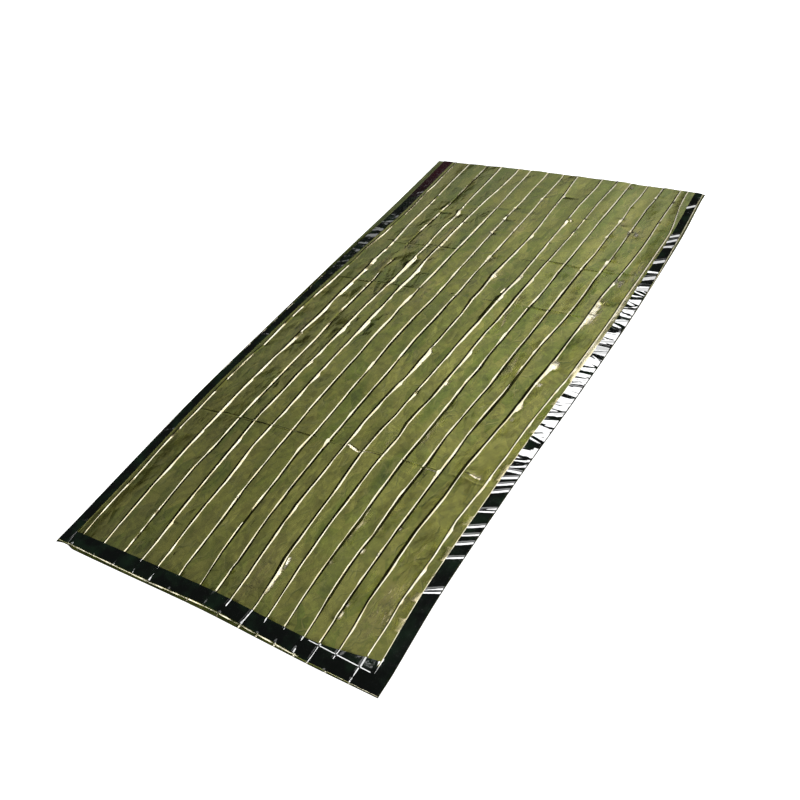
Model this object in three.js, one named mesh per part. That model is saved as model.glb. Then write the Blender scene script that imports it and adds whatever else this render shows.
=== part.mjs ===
// Emergency sleeping bag of thin metallised film, opened out and lying collapsed on the ground.
// Millimetres, +Z up. X runs across the bag, Y from the sealed foot (-Y) to the open head (+Y).
// The origin is the centre of the bag's box on the ground.
import * as THREE from "three";

// Driving dimensions
const FILM = 1; // thickness that each layer is modelled at
const GAP = 0.3; // air between layers that lie on each other
const HEAD = 993; // head edge at the middle of the bag
const HEAD_BOW = 8; // how far the head corners lie behind that
const HALF_WIDTH = 520; // from the middle to the head corners
const LAP = 12; // front film under the inner edge of each tape
const DRAPE = 2; // clearance of a tape past an edge that it falls over
const STEP_RUN = 5; // length over which it falls
const LAYER = FILM + GAP; // rise from one layer's underside to the next one's
const BACK_COLUMNS = 7; // cells of the back film's grid
const BACK_ROWS = 23;

// How the front film lies
const LOFT = 9; // height of the front film above the back film
const SETTLE = 80; // run over which it comes down to a sealed edge
const SEAT = 12; // run over which a standing crease dies away at a sealed edge
const FLANK = 7; // half width of a pinched crease
const CROWN = 1; // belly of the film between two creases
const LIE_STANDING = 1.2; // how much higher than the loft a standing crease's foot lies
const HEAD_GAIN = 0.55; // creases are flatter towards the head
const HEAD_GAIN_FROM = 960;
const HEAD_GAIN_TO = 600;
const UNEVEN = 0.2; // share by which a crease's height wanders along it

// Slow waves along the film, each with its own length, in millimetres for one radian, and phase
const creaseWave = (order, y) => Math.sin(y / (64 + 5 * order) + 2.4 * order);
const bellyWave = (strip, y) => Math.sin(y / (150 + 9 * strip) + 1.7 * strip);

// Cross folds run slightly askew, less so towards the two ends
const SLANT = 0.07;
const FOLD_FLANK = 16;
const ROW_STEP = 85;

// Stations along the bag, foot to head, for the tables of lengthwise lines below
const STATIONS = [-940, -700, -400, 0, 350, 700, 960];

// X of the long lines at the stations
const BACK_LEFT = [-519, -527, -534, -526, -517, -504, -499];
const BACK_RIGHT = [514, 505, 509, 525, 534, 531, 517];
const LEFT_TAPE_OUTER = [-517, -525, -531, -518, -501, -480, -477];
const LEFT_TAPE_INNER = [-484, -491, -501, -489, -467, -440, -438];
const RIGHT_TAPE_INNER = [479, 467, 471, 488, 498, 496, 485];
const RIGHT_TAPE_OUTER = [512, 503, 507, 523, 531, 521, 507];

// Pack creases from left to right: X at each station, and how high each is pinched up (+) or down (-)
const CREASES = [
  { path: [-463, -476, -484, -472, -452, -426, -425], pinch: 4 },
  { path: [-383, -396, -409, -392, -379, -374, -366], pinch: 4 },
  { path: [-304, -326, -336, -329, -322, -304, -293], pinch: -3 },
  { path: [-243, -261, -277, -267, -252, -241, -230], pinch: 4 },
  { path: [-184, -203, -219, -211, -202, -187, -159], pinch: 4 },
  { path: [-114, -137, -151, -152, -140, -122, -111], pinch: -3 },
  { path: [-46, -73, -84, -86, -70, -59, -42], pinch: -3 },
  { path: [6, -16, -27, -22, -10, 8, 18], pinch: -3 },
  { path: [56, 37, 30, 48, 56, 74, 71], pinch: 4 },
  { path: [124, 105, 94, 114, 136, 149, 158], pinch: 4.5 },
  { path: [169, 154, 149, 166, 180, 199, 214], pinch: 4 },
  { path: [224, 208, 207, 219, 237, 253, 263], pinch: -3 },
  { path: [279, 264, 266, 283, 296, 314, 321], pinch: -3 },
  { path: [326, 314, 317, 336, 358, 369, 376], pinch: -3 },
  { path: [374, 365, 373, 404, 418, 439, 434], pinch: 4.5 },
  { path: [438, 434, 440, 468, 483, 486, 458], pinch: 4 },
];

// Cross folds: Y at the middle of the bag and the height of the fold
const CROSS_FOLDS = [
  { at: -415, rise: 2 },
  { at: 262, rise: 1.5 },
  { at: 485, rise: 1.5 },
];

// Lines across the foot: Y at stations across the bag
const FOOT_STATIONS = [-480, -190, 5, 205, 285, 480];
const FOOT_TAPE_INNER = [-945, -937, -933, -938, -940, -916];
const FOOT_TAPE_OUTER = [-982, -981, -975, -982, -985, -986];
const BACK_FOOT_STATIONS = [-519, -485, -450, -300, 5, 205, 350, 514];
const BACK_FOOT = [-993, -986, -993, -989, -984, -987, -989, -989];

// The right tape's return along the foot: its cut end, and Y of its edges there and at the corner
const RETURN_END = 298;
const RETURN_INNER_AT_END = -942;
const RETURN_INNER_AT_CORNER = -948;
const RETURN_OUTER = -987;
const LEFT_TAPE_FOOT = -985;

// Ripples across the tapes, as spans along Y with the pitch and height of the ripples there
const RIGHT_RIPPLES = [
  { from: -880, to: -330, pitch: 70, height: 0.8 },
  { from: -330, to: 480, pitch: 34, height: 1.4 },
  { from: 480, to: 960, pitch: 80, height: 1 },
];
const LEFT_RIPPLES = [{ from: -880, to: 960, pitch: 92, height: 0.8 }];
const FOOT_RIDGE = 1.4; // height of the creases that run on across the foot tape
const FOOT_RIDGE_FLANK = 6;

// A smooth curve through the values at the stations, which never passes beyond them
function lineThrough(stations, values) {
  const last = stations.length - 1;
  const slopeAfter = (i) => (values[i + 1] - values[i]) / (stations[i + 1] - stations[i]);
  const tangents = values.map((_, i) => {
    if (i === 0) return slopeAfter(0);
    if (i === last) return slopeAfter(last - 1);
    const before = slopeAfter(i - 1);
    const after = slopeAfter(i);
    return before * after <= 0 ? 0 : (2 * before * after) / (before + after);
  });
  return (at) => {
    const along = THREE.MathUtils.clamp(at, stations[0], stations[last]);
    const i = Math.max(0, stations.findIndex((station) => station >= along) - 1);
    const run = stations[i + 1] - stations[i];
    const t = (along - stations[i]) / run;
    const fromStart = values[i] + t * t * (3 - 2 * t) * (values[i + 1] - values[i]);
    return fromStart + run * t * (1 - t) * ((1 - t) * tangents[i] - t * tangents[i + 1]);
  };
}

const backLeft = lineThrough(STATIONS, BACK_LEFT);
const backRight = lineThrough(STATIONS, BACK_RIGHT);
const backFoot = lineThrough(BACK_FOOT_STATIONS, BACK_FOOT);
const leftTapeOuter = lineThrough(STATIONS, LEFT_TAPE_OUTER);
const leftTapeInner = lineThrough(STATIONS, LEFT_TAPE_INNER);
const rightTapeInner = lineThrough(STATIONS, RIGHT_TAPE_INNER);
const rightTapeOuter = lineThrough(STATIONS, RIGHT_TAPE_OUTER);
const footTapeInner = lineThrough(FOOT_STATIONS, FOOT_TAPE_INNER);
const footTapeOuter = lineThrough(FOOT_STATIONS, FOOT_TAPE_OUTER);
const creases = CREASES.map(({ path, pinch }) => ({ at: lineThrough(STATIONS, path), pinch }));
const headEdge = (x) => HEAD - HEAD_BOW * (x / HALF_WIDTH) ** 2;

// Splits the stretches between marks so that no step is longer than the given one
function subdivide(marks, longest) {
  return marks.flatMap((mark, i) => {
    if (i === 0) return [mark];
    const before = marks[i - 1];
    const parts = Math.ceil((mark - before) / longest);
    return Array.from({ length: parts }, (_, k) => before + ((k + 1) * (mark - before)) / parts);
  });
}

// A closed sheet from rows of points of its underside. Seen from above, each next row lies to the left
// of the way that a row runs.
function sheetGeometry(grid) {
  const rows = grid.length;
  const columns = grid[0].length;
  const normalAt = (j, i) => {
    const across = grid[j][Math.min(i + 1, columns - 1)].clone().sub(grid[j][Math.max(i - 1, 0)]);
    const along = grid[Math.min(j + 1, rows - 1)][i].clone().sub(grid[Math.max(j - 1, 0)][i]);
    return across.cross(along).normalize();
  };
  const under = grid.flat();
  const over = grid.flatMap((row, j) =>
    row.map((point, i) => point.clone().addScaledVector(normalAt(j, i), FILM)),
  );
  const index = [];
  const below = (j, i) => j * columns + i;
  const above = (j, i) => rows * columns + j * columns + i;
  const quad = (a, b, c, d) => index.push(a, b, c, a, c, d);
  for (let j = 0; j < rows - 1; j += 1) {
    for (let i = 0; i < columns - 1; i += 1) {
      quad(above(j, i), above(j, i + 1), above(j + 1, i + 1), above(j + 1, i));
      quad(below(j, i), below(j + 1, i), below(j + 1, i + 1), below(j, i + 1));
    }
    quad(below(j, 0), above(j, 0), above(j + 1, 0), below(j + 1, 0));
    quad(below(j + 1, columns - 1), above(j + 1, columns - 1), above(j, columns - 1), below(j, columns - 1));
  }
  for (let i = 0; i < columns - 1; i += 1) {
    quad(below(0, i + 1), above(0, i + 1), above(0, i), below(0, i));
    quad(below(rows - 1, i), above(rows - 1, i), above(rows - 1, i + 1), below(rows - 1, i + 1));
  }
  const geometry = new THREE.BufferGeometry().setFromPoints([...under, ...over]);
  geometry.setIndex(index);
  geometry.computeVertexNormals();
  return geometry;
}

// Back film: flat on the ground, its edge showing outside the tapes
function backPanelGeometry() {
  const columnShares = subdivide([0, 1], 1 / BACK_COLUMNS);
  const rowShares = subdivide([0, 1], 1 / BACK_ROWS);
  return sheetGeometry(
    rowShares.map((rowShare) =>
      columnShares.map((columnShare) => {
        const yNominal = THREE.MathUtils.lerp(-HEAD, HEAD, rowShare);
        const x = THREE.MathUtils.lerp(backLeft(yNominal), backRight(yNominal), columnShare);
        return new THREE.Vector3(x, THREE.MathUtils.lerp(backFoot(x), headEdge(x), rowShare), 0);
      }),
    ),
  );
}

// How far a point of the front film lies inside the sealed edges
function insideSeal(x, y) {
  return Math.min(x - leftTapeInner(y), rightTapeInner(y) - x, y - footTapeInner(x));
}

// Rows of the front film bend with its foot and head edges, and lie askew in between
function frontRowY(row, x) {
  const foot = footTapeInner(0);
  const footShare = 1 - THREE.MathUtils.smoothstep(row, foot, foot + 2 * SETTLE);
  const headShare = THREE.MathUtils.smoothstep(row, HEAD - 2 * SETTLE, HEAD);
  const askew = SLANT * Math.max(0, 1 - (row / HEAD) ** 2) * x * (1 - footShare) * (1 - headShare);
  return row + askew + (footTapeInner(x) - foot) * footShare + (headEdge(x) - HEAD) * headShare;
}

// A tent of height 1 over a line, falling to nothing at its flanks
const tent = (distance, flank) => Math.max(0, 1 - Math.abs(distance) / flank);

// How much of its pinch a crease keeps at this place along it
function creaseGain(order, y) {
  const flatter = THREE.MathUtils.smoothstep(y, HEAD_GAIN_TO, HEAD_GAIN_FROM);
  return THREE.MathUtils.lerp(1, HEAD_GAIN, flatter) * (1 + UNEVEN * creaseWave(order, y));
}

// Height of the front film's underside above its lowest place, which is on the back film
function frontRise(x, y, row) {
  const inside = insideSeal(x, y);
  const settled = THREE.MathUtils.smoothstep(inside, 0, SETTLE);
  const seated = THREE.MathUtils.smoothstep(inside, 0, SEAT);
  const strip = creases.findIndex((crease) => crease.at(y) > x);
  let rise = LOFT * settled;
  if (strip > 0) {
    const [left, right] = [creases[strip - 1], creases[strip]];
    const share = (x - left.at(y)) / (right.at(y) - left.at(y));
    const lie = (crease) => (crease.pinch > 0 ? LIE_STANDING : 0);
    const arch = 4 * share * (1 - share);
    rise += settled * THREE.MathUtils.lerp(lie(left), lie(right), share);
    rise += settled * CROWN * bellyWave(strip, y) * arch;
  }
  creases.forEach((crease, order) => {
    const hold = crease.pinch > 0 ? seated : settled;
    rise += tent(x - crease.at(y), FLANK) * crease.pinch * creaseGain(order, y) * hold;
  });
  for (const fold of CROSS_FOLDS) {
    rise += tent(row - fold.at, FOLD_FLANK) * fold.rise * settled;
  }
  return rise;
}

// Columns of the front film keep to the creases and their flanks, with one in the middle of each strip
function frontColumns(y) {
  const lines = creases.map((crease) => crease.at(y));
  const pinched = lines.flatMap((line, i) => {
    const flanked = [line - FLANK, line, line + FLANK];
    return i === 0 ? flanked : [(lines[i - 1] + line) / 2, ...flanked];
  });
  const [left, right] = [leftTapeInner(y), rightTapeInner(y)];
  return [left - LAP, left, ...pinched, right, right + LAP];
}

function frontPanelGeometry() {
  const foot = footTapeInner(0);
  const marks = CROSS_FOLDS.flatMap(({ at }) => [at - FOLD_FLANK, at, at + FOLD_FLANK]);
  const inner = subdivide([foot, foot + SEAT, foot + SETTLE / 2, foot + SETTLE, ...marks, HEAD], ROW_STEP);
  return sheetGeometry(
    [foot - LAP, ...inner].map((row) =>
      frontColumns(row).map((xNominal, i) => {
        const y = frontRowY(row, xNominal);
        const x = frontColumns(y)[i];
        return new THREE.Vector3(x, y, LAYER + frontRise(x, y, row));
      }),
    ),
  );
}

// Points across a tape, from its inner edge on the front film to its outer edge on the back film.
// The unit step goes outwards, and the lift raises the tape over other tapes and in ripples.
function tapeRib(inner, outer, step, lift) {
  const high = 2 * LAYER + lift;
  const low = LAYER + lift;
  const falls = LAP + DRAPE;
  const place = (run, z) => new THREE.Vector3(inner.x + step.x * run, inner.y + step.y * run, z);
  return [
    place(0, high),
    place(falls, high),
    place(falls + STEP_RUN, low),
    new THREE.Vector3(outer.x, outer.y, low),
  ];
}

// Rows along a tape at its ripples, as pairs of a place and a lift
function rippleRows(spans) {
  return spans.flatMap(({ from, to, pitch, height }) => {
    const count = Math.round((to - from) / pitch);
    return Array.from({ length: count }, (_, k) => from + (k * (to - from)) / count).flatMap((start) => [
      { at: start, lift: 0 },
      { at: start + pitch / 2, lift: height },
    ]);
  });
}

// Rows across the foot between two ends, where the creases run on as ridges in the tapes
function footRows(from, to) {
  const ridges = creases.flatMap(({ at, pinch }) => {
    const x = at(STATIONS[0]);
    return [
      { at: x - FOOT_RIDGE_FLANK, lift: 0 },
      { at: x, lift: pinch > 0 ? FOOT_RIDGE : FOOT_RIDGE / 2 },
      { at: x + FOOT_RIDGE_FLANK, lift: 0 },
    ];
  });
  const between = ridges.filter(({ at }) => at > from && at < to);
  return [{ at: from, lift: 0 }, ...between, { at: to, lift: 0 }];
}

// Foot tape: across the foot, its ends under the two side tapes
function footTapeGeometry() {
  const under = LAP - DRAPE;
  const left = leftTapeInner(STATIONS[0]) - under;
  const right = rightTapeInner(STATIONS[0]) + under;
  const outwards = new THREE.Vector2(0, -1);
  return sheetGeometry(
    footRows(left, right).map(({ at, lift }) =>
      tapeRib(
        new THREE.Vector2(at, footTapeInner(at)),
        new THREE.Vector2(at, footTapeOuter(at)),
        outwards,
        lift,
      ),
    ),
  );
}

// Left tape: from the head to the foot, over the end of the foot tape
function leftTapeGeometry() {
  const overFoot = footTapeInner(leftTapeInner(STATIONS[0]));
  const head = headEdge(leftTapeInner(HEAD));
  const rows = [
    { at: LEFT_TAPE_FOOT, lift: LAYER },
    { at: overFoot + SEAT, lift: LAYER },
    { at: overFoot + 2 * SEAT, lift: 0 },
    ...rippleRows(LEFT_RIPPLES),
    { at: head, lift: 0 },
  ];
  const outwards = new THREE.Vector2(-1, 0);
  return sheetGeometry(
    rows.map(({ at, lift }) =>
      tapeRib(
        new THREE.Vector2(leftTapeInner(at), at),
        new THREE.Vector2(leftTapeOuter(at), at),
        outwards,
        lift,
      ).reverse(),
    ),
  );
}

// Right tape: from the head to the foot, folded round the corner and back along the foot tape
function rightTapeGeometry() {
  const corner = new THREE.Vector2(rightTapeInner(STATIONS[0]), RETURN_INNER_AT_CORNER);
  const outerCorner = new THREE.Vector2(rightTapeOuter(STATIONS[0]), RETURN_OUTER);
  const overFoot = footTapeInner(corner.x);
  const head = headEdge(rightTapeInner(HEAD));
  const returnRibs = footRows(RETURN_END, corner.x - SEAT).map(({ at, lift }) => {
    const share = (at - RETURN_END) / (corner.x - RETURN_END);
    const innerY = THREE.MathUtils.lerp(RETURN_INNER_AT_END, RETURN_INNER_AT_CORNER, share);
    return tapeRib(
      new THREE.Vector2(at, innerY),
      new THREE.Vector2(at, RETURN_OUTER),
      new THREE.Vector2(0, -1),
      LAYER + lift,
    );
  });
  const cornerRib = tapeRib(corner, outerCorner, new THREE.Vector2(1, -1), LAYER);
  const legRows = [
    { at: overFoot + SEAT / 2, lift: LAYER },
    { at: overFoot + 2 * SEAT, lift: 0 },
    ...rippleRows(RIGHT_RIPPLES),
    { at: head, lift: 0 },
  ];
  const legRibs = legRows.map(({ at, lift }) =>
    tapeRib(
      new THREE.Vector2(rightTapeInner(at), at),
      new THREE.Vector2(rightTapeOuter(at), at),
      new THREE.Vector2(1, 0),
      lift,
    ),
  );
  return sheetGeometry([...returnRibs, cornerRib, ...legRibs]);
}

// Materials
const oliveFilm = () => new THREE.MeshStandardMaterial({ color: 0x6f7440, roughness: 0.38, metalness: 0.7 });
const backFilm = () => new THREE.MeshStandardMaterial({ color: 0x7d8350, roughness: 0.4, metalness: 0.6 });
const glossTape = () => new THREE.MeshStandardMaterial({ color: 0x121a14, roughness: 0.12, metalness: 0 });

function piece(name, geometry, material) {
  const mesh = new THREE.Mesh(geometry, material);
  mesh.name = name;
  return mesh;
}

const sleepingBag = new THREE.Group();
sleepingBag.add(
  piece("back_panel", backPanelGeometry(), backFilm()),
  piece("front_panel", frontPanelGeometry(), oliveFilm()),
  piece("foot_seal_tape", footTapeGeometry(), glossTape()),
  piece("left_seal_tape", leftTapeGeometry(), glossTape()),
  piece("right_seal_tape", rightTapeGeometry(), glossTape()),
);

export default sleepingBag;
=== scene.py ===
"""Emergency sleeping bag: its creased films and glossy seal tapes, and a plain studio to look at it in."""

import math
import random

import bpy
import numpy as np
from bpy.props import FloatProperty, FloatVectorProperty, IntProperty, PointerProperty
from mathutils import Matrix, Vector, noise


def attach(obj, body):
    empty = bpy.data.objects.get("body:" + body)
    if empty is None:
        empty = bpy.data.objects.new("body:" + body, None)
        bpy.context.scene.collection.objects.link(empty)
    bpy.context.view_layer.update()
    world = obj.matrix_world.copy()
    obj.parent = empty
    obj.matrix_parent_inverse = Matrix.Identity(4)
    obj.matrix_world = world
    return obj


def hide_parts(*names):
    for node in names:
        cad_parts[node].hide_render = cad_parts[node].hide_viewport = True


bl_info = {
    "name": "Emergency Sleeping Bag",
    "version": (1, 0, 0),
    "blender": (4, 5, 0),
    "location": "3D View > Sidebar > Sleeping Bag",
    "description": "Builds the creased films and glossy seal tapes of an emergency sleeping bag",
    "category": "Mesh",
}

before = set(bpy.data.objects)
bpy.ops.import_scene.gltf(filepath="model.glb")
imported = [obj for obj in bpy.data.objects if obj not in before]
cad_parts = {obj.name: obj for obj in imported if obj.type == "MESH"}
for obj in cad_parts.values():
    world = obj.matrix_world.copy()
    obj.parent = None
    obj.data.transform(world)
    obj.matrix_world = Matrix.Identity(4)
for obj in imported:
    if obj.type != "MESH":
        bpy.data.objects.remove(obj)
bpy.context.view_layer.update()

# Tables are in millimetres, in the frame of the solids. X runs across the bag and Y from foot to head.
MM = 0.001

# Driving dimensions, the same as the solids have
HEAD = 993
HEAD_BOW = 8
HALF_WIDTH = 520
LAP = 12
LAYER = 1.3
SETTLE = 80
SEAT = 12
SLANT = 0.07

# Stations along the bag, foot to head, for the lengthwise lines below
STATIONS = [-940, -700, -400, 0, 350, 700, 960]
BACK_LEFT = [-519, -527, -534, -526, -517, -504, -499]
BACK_RIGHT = [514, 505, 509, 525, 534, 531, 517]
LEFT_TAPE_OUTER = [-517, -525, -531, -518, -501, -480, -477]
LEFT_TAPE_INNER = [-484, -491, -501, -489, -467, -440, -438]
RIGHT_TAPE_INNER = [479, 467, 471, 488, 498, 496, 485]
RIGHT_TAPE_OUTER = [512, 503, 507, 523, 531, 521, 507]

# Pack creases from left to right: X at each station, and whether the fold stands up (1) or sinks (-1)
CREASES = [
    ([-463, -476, -484, -472, -452, -426, -425], 1),
    ([-383, -396, -409, -392, -379, -374, -366], 1),
    ([-304, -326, -336, -329, -322, -304, -293], -1),
    ([-243, -261, -277, -267, -252, -241, -230], 1),
    ([-184, -203, -219, -211, -202, -187, -159], 1),
    ([-114, -137, -151, -152, -140, -122, -111], -1),
    ([-46, -73, -84, -86, -70, -59, -42], -1),
    ([6, -16, -27, -22, -10, 8, 18], -1),
    ([56, 37, 30, 48, 56, 74, 71], 1),
    ([124, 105, 94, 114, 136, 149, 158], 1),
    ([169, 154, 149, 166, 180, 199, 214], 1),
    ([224, 208, 207, 219, 237, 253, 263], -1),
    ([279, 264, 266, 283, 296, 314, 321], -1),
    ([326, 314, 317, 336, 358, 369, 376], -1),
    ([374, 365, 373, 404, 418, 439, 434], 1),
    ([438, 434, 440, 468, 483, 486, 458], 1),
]

# Cross folds: Y at the middle of the bag, rise and the run of a flank
CROSS_FOLDS = [
    (-740, 0.5, 5),
    (-570, 0.5, 5),
    (-415, 1.5, 4.5),
    (-220, 0.5, 5),
    (262, 0.8, 4.5),
    (485, 0.8, 4.5),
    (735, 0.6, 5),
]

# Short ridges on the film: X and Y of both ends, rise and the run of a flank
RIDGES = [
    (36, -404, 76, -417, 2.2, 4),
    (380, -371, 422, -382, 2.2, 4),
    (446, -368, 470, -372, 1.2, 4),
    (-30, -424, -8, -430, 1.2, 4),
    (130, -420, 150, -424, 1.2, 4),
    (122, 500, 116, 180, 1.6, 4),
    (112, -640, 122, -900, 1.3, 3.5),
    (-14, 473, 22, 468, 1.2, 4),
    (45, 695, 60, 690, 1.0, 4),
    (20, 625, 40, 615, 1.0, 4),
]

# Places where the rows of faces turn to follow a ridge: X, Y and turn
ROW_TURNS = [
    (56, -410, -0.4),
    (401, -376, -0.33),
]

# Places where the lit flank flares, by crease from the left: Y of the wide end, length and extra run
FLARES = {
    1: [(610, 60, 5), (96, 40, 4), (0, 45, 5), (-150, 45, 4), (-325, 50, 5), (-540, 40, 3)],
    2: [(760, 40, 4), (350, 80, 5), (215, 90, 5), (-55, 110, 6), (-290, 60, 4), (-520, 50, 3)],
    3: [(430, 60, 4), (676, 14, 5)],
    4: [(682, 40, 6), (400, 150, 6), (30, 60, 4), (-160, 30, 6), (-815, 45, 3)],
    5: [(340, 110, 5), (60, 110, 5), (-200, 50, 4)],
    6: [(215, 60, 4)],
    7: [(-98, 40, 4), (600, 14, 5), (688, 14, 5), (756, 10, 4)],
    8: [(476, 40, 6), (826, 10, 4), (-412, 30, 5)],
    9: [(-4, 115, 6), (-150, 50, 4), (384, 24, 6), (618, 30, 5), (862, 12, 5)],
    10: [(725, 45, 6), (410, 90, 5), (295, 70, 4), (-165, 45, 4)],
    11: [(34, 95, 4), (400, 60, 4)],
    12: [(145, 60, 4)],
    13: [(675, 14, 5), (770, 18, 5)],
    14: [(-395, 45, 5), (550, 34, 6), (722, 24, 6), (924, 10, 4)],
    15: [(466, 34, 6), (350, 150, 9), (44, 110, 7), (-105, 45, 5)],
    16: [(-545, 50, 4), (-670, 50, 5)],
}

# Puckers that stand on the film: X, Y, rise, half width across, half length along
PUCKERS = [
    (421, 300, 2.4, 9, 60),
    (411, 60, 3.0, 8, 18),
    (51, 5, 3.0, 8, 16),
    (-239, 685, 3.0, 11, 14),
    (156, 725, 3.0, 11, 14),
    (-14, 485, 2.4, 9, 10),
    (356, 552, 2.4, 9, 10),
    (436, 460, 2.4, 10, 20),
    (66, 380, 2.6, 10, 18),
    (-307, 690, 2.2, 9, 12),
    (-184, 620, 2.2, 9, 12),
    (201, 670, 2.2, 9, 14),
    (-59, 700, 2.0, 8, 12),
    (311, 775, 2.0, 8, 12),
    (381, 710, 2.6, 12, 18),
    (16, 620, 2.4, 10, 16),
    (-254, 360, 2.2, 8, 16),
    (-379, 350, 2.2, 8, 16),
    (-464, -150, 2.0, 7, 14),
    (-469, -325, 2.0, 7, 14),
    (-379, -110, 2.2, 8, 14),
    (-264, -165, 2.2, 8, 14),
    (116, -165, 2.4, 9, 14),
    (396, -120, 2.4, 9, 14),
    (41, -155, 2.4, 9, 14),
    (4, -860, 2.4, 10, 12),
    (318, -860, 2.4, 10, 12),
]

# Crumpled places: X, Y, half width, half length
CRUMPLES = [
    (66, -835, 34, 105),
    (400, -810, 38, 100),
    (385, 712, 28, 36),
    (12, 640, 28, 40),
    (425, 300, 22, 85),
    (60, 385, 24, 40),
    (335, 745, 20, 55),
    (465, 520, 14, 60),
    (-205, 400, 26, 60),
    (-330, 340, 24, 50),
    (-120, 250, 24, 60),
    (-400, -20, 22, 60),
    (-262, 190, 22, 60),
    (-300, 470, 20, 60),
    (-205, 560, 18, 50),
    (-60, 600, 20, 40),
]

# Browner places: X, Y, half width, half length
BROWN_PLACES = [
    (66, -650, 30, 280),
    (5, -600, 26, 200),
    (405, -640, 32, 320),
    (425, -250, 26, 260),
    (150, -480, 22, 150),
    (330, 60, 26, 200),
    (-190, 500, 26, 120),
    (300, 640, 30, 150),
]

# Deeper green places beside creases, a painted shade of facets that lean away from the light: X, Y, half
# width, half length
SHADED_PLACES = [
    (-196, 20, 16, 70),
    (176, -200, 16, 90),
    (250, 240, 20, 60),
    (262, -80, 18, 80),
    (140, -612, 16, 90),
    (190, -430, 18, 80),
    (-8, 20, 14, 80),
    (-60, -240, 16, 80),
    (120, 290, 14, 70),
    (-140, 560, 16, 60),
    (-330, -420, 18, 90),
    (-240, -640, 16, 80),
    (420, 180, 18, 70),
]

# Lines across the foot: Y at stations across the bag
FOOT_STATIONS = [-480, -190, 5, 205, 285, 480]
FOOT_TAPE_INNER = [-945, -937, -933, -938, -940, -916]
FOOT_TAPE_OUTER = [-981, -979, -973, -979, -982, -984]
BACK_FOOT_STATIONS = [-519, -485, -450, -300, 5, 205, 350, 514]
BACK_FOOT = [-993, -987, -993, -991, -986, -989, -991, -990]

# The right tape's return along the foot: its cut end, and Y of its edges there and at the corner
RETURN_END = 298
RETURN_INNER_AT_END = -942
RETURN_INNER_AT_CORNER = -948
RETURN_OUTER = -987
LEFT_TAPE_FOOT = -985

# How far the right tape's inner edge is raised by the film under it
RIGHT_LIFT_STATIONS = [-940, -860, -500, -330, -190, 0, 330, 480, 700, 960]
RIGHT_LIFT = [1.4, 1.3, 1.2, 1.6, 2.9, 3.1, 2.7, 2.4, 1.8, 1.5]

# How far the foot tape's inner edge is raised by the film under it
FOOT_LIFT = 1.4

# Chance pleats across the tapes: span along the tape, mean pitch, rise and half length
RIGHT_PLEATS = [
    (-260, 470, 46, 2.6, 13),
    (-330, 480, 23, 0.9, 5),
    (-330, 480, 13, 0.4, 2.4),
    (480, 975, 90, 0.6, 6),
]
LEFT_PLEATS = [
    (-930, 640, 70, 0.5, 9),
    (190, 640, 15, 0.26, 3.5),
    (640, 970, 90, 0.12, 10),
]
FOOT_PLEATS = [(-480, 480, 75, 0.4, 8)]

# Pleats of the right tape that catch the light: Y, rise, half length and how far they run askew
RIGHT_STREAKS = [
    (907, 1.6, 6, 22),
    (738, 1.5, 5, 20),
    (712, 1.5, 6, 24),
    (680, 1.2, 4, 20),
    (600, 1.8, 7, 22),
    (515, 1.8, 7, 22),
    (-345, 1.0, 3, 20),
    (-368, 0.9, 3, 22),
    (-393, 1.0, 3, 24),
    (-455, 0.9, 2.5, 20),
    (-463, 0.8, 2.5, 16),
    (-512, 0.9, 3, 22),
    (-540, 0.8, 2.5, 20),
    (-567, 0.9, 3, 22),
    (-612, 0.8, 2.5, 20),
    (-708, 0.9, 3, 22),
    (-717, 0.8, 2.5, 18),
]


# Curves and smooth steps

def line_through(stations, values):
    """A smooth line through the values at the stations, which never passes beyond them."""
    at = np.array(stations, dtype=float)
    value = np.array(values, dtype=float)
    run = np.diff(at)
    slope = np.diff(value) / run
    before, after = slope[:-1], slope[1:]
    same_way = before * after > 0
    total = np.where(same_way, before + after, 1)
    tangent = np.empty_like(value)
    tangent[0] = slope[0]
    tangent[-1] = slope[-1]
    tangent[1:-1] = np.where(same_way, 2 * before * after / total, 0)

    def line(place):
        along = np.clip(place, at[0], at[-1])
        i = np.clip(np.searchsorted(at, along) - 1, 0, len(run) - 1)
        t = (along - at[i]) / run[i]
        from_start = value[i] + t * t * (3 - 2 * t) * (value[i + 1] - value[i])
        return from_start + run[i] * t * (1 - t) * ((1 - t) * tangent[i] - t * tangent[i + 1])

    return line


def smoothstep(value, low, high):
    """Share from 0 at the low value to 1 at the high one, level at both ends."""
    share = np.clip((value - low) / (high - low), 0, 1)
    return share * share * (3 - 2 * share)


def faded(value, less, low, high):
    """Share that falls from 1 at the low value by a given part until the high one."""
    return 1 - less * smoothstep(value, low, high)


def field(x, y, across, along, seed):
    """Smooth noise between about -1 and 1 over the bag, with its own size each way."""
    flat_x = np.ravel(x) / across
    flat_y = np.ravel(y) / along
    values = [noise.noise(Vector((u, v, seed))) for u, v in zip(flat_x, flat_y)]
    return np.reshape(np.array(values), np.shape(x))


back_left = line_through(STATIONS, BACK_LEFT)
back_right = line_through(STATIONS, BACK_RIGHT)
back_foot = line_through(BACK_FOOT_STATIONS, BACK_FOOT)
left_tape_outer = line_through(STATIONS, LEFT_TAPE_OUTER)
left_tape_inner = line_through(STATIONS, LEFT_TAPE_INNER)
right_tape_inner = line_through(STATIONS, RIGHT_TAPE_INNER)
right_tape_outer = line_through(STATIONS, RIGHT_TAPE_OUTER)
foot_tape_inner = line_through(FOOT_STATIONS, FOOT_TAPE_INNER)
foot_tape_outer = line_through(FOOT_STATIONS, FOOT_TAPE_OUTER)
right_lift = line_through(RIGHT_LIFT_STATIONS, RIGHT_LIFT)


def head_edge(x):
    """Y of the open head edge."""
    return HEAD - HEAD_BOW * (x / HALF_WIDTH) ** 2


# Pack creases

# Fall of the slope that a lit flank needs, for each millimetre across the bag
LIT_SLOPE_FALL = math.radians(0.021)

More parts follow.
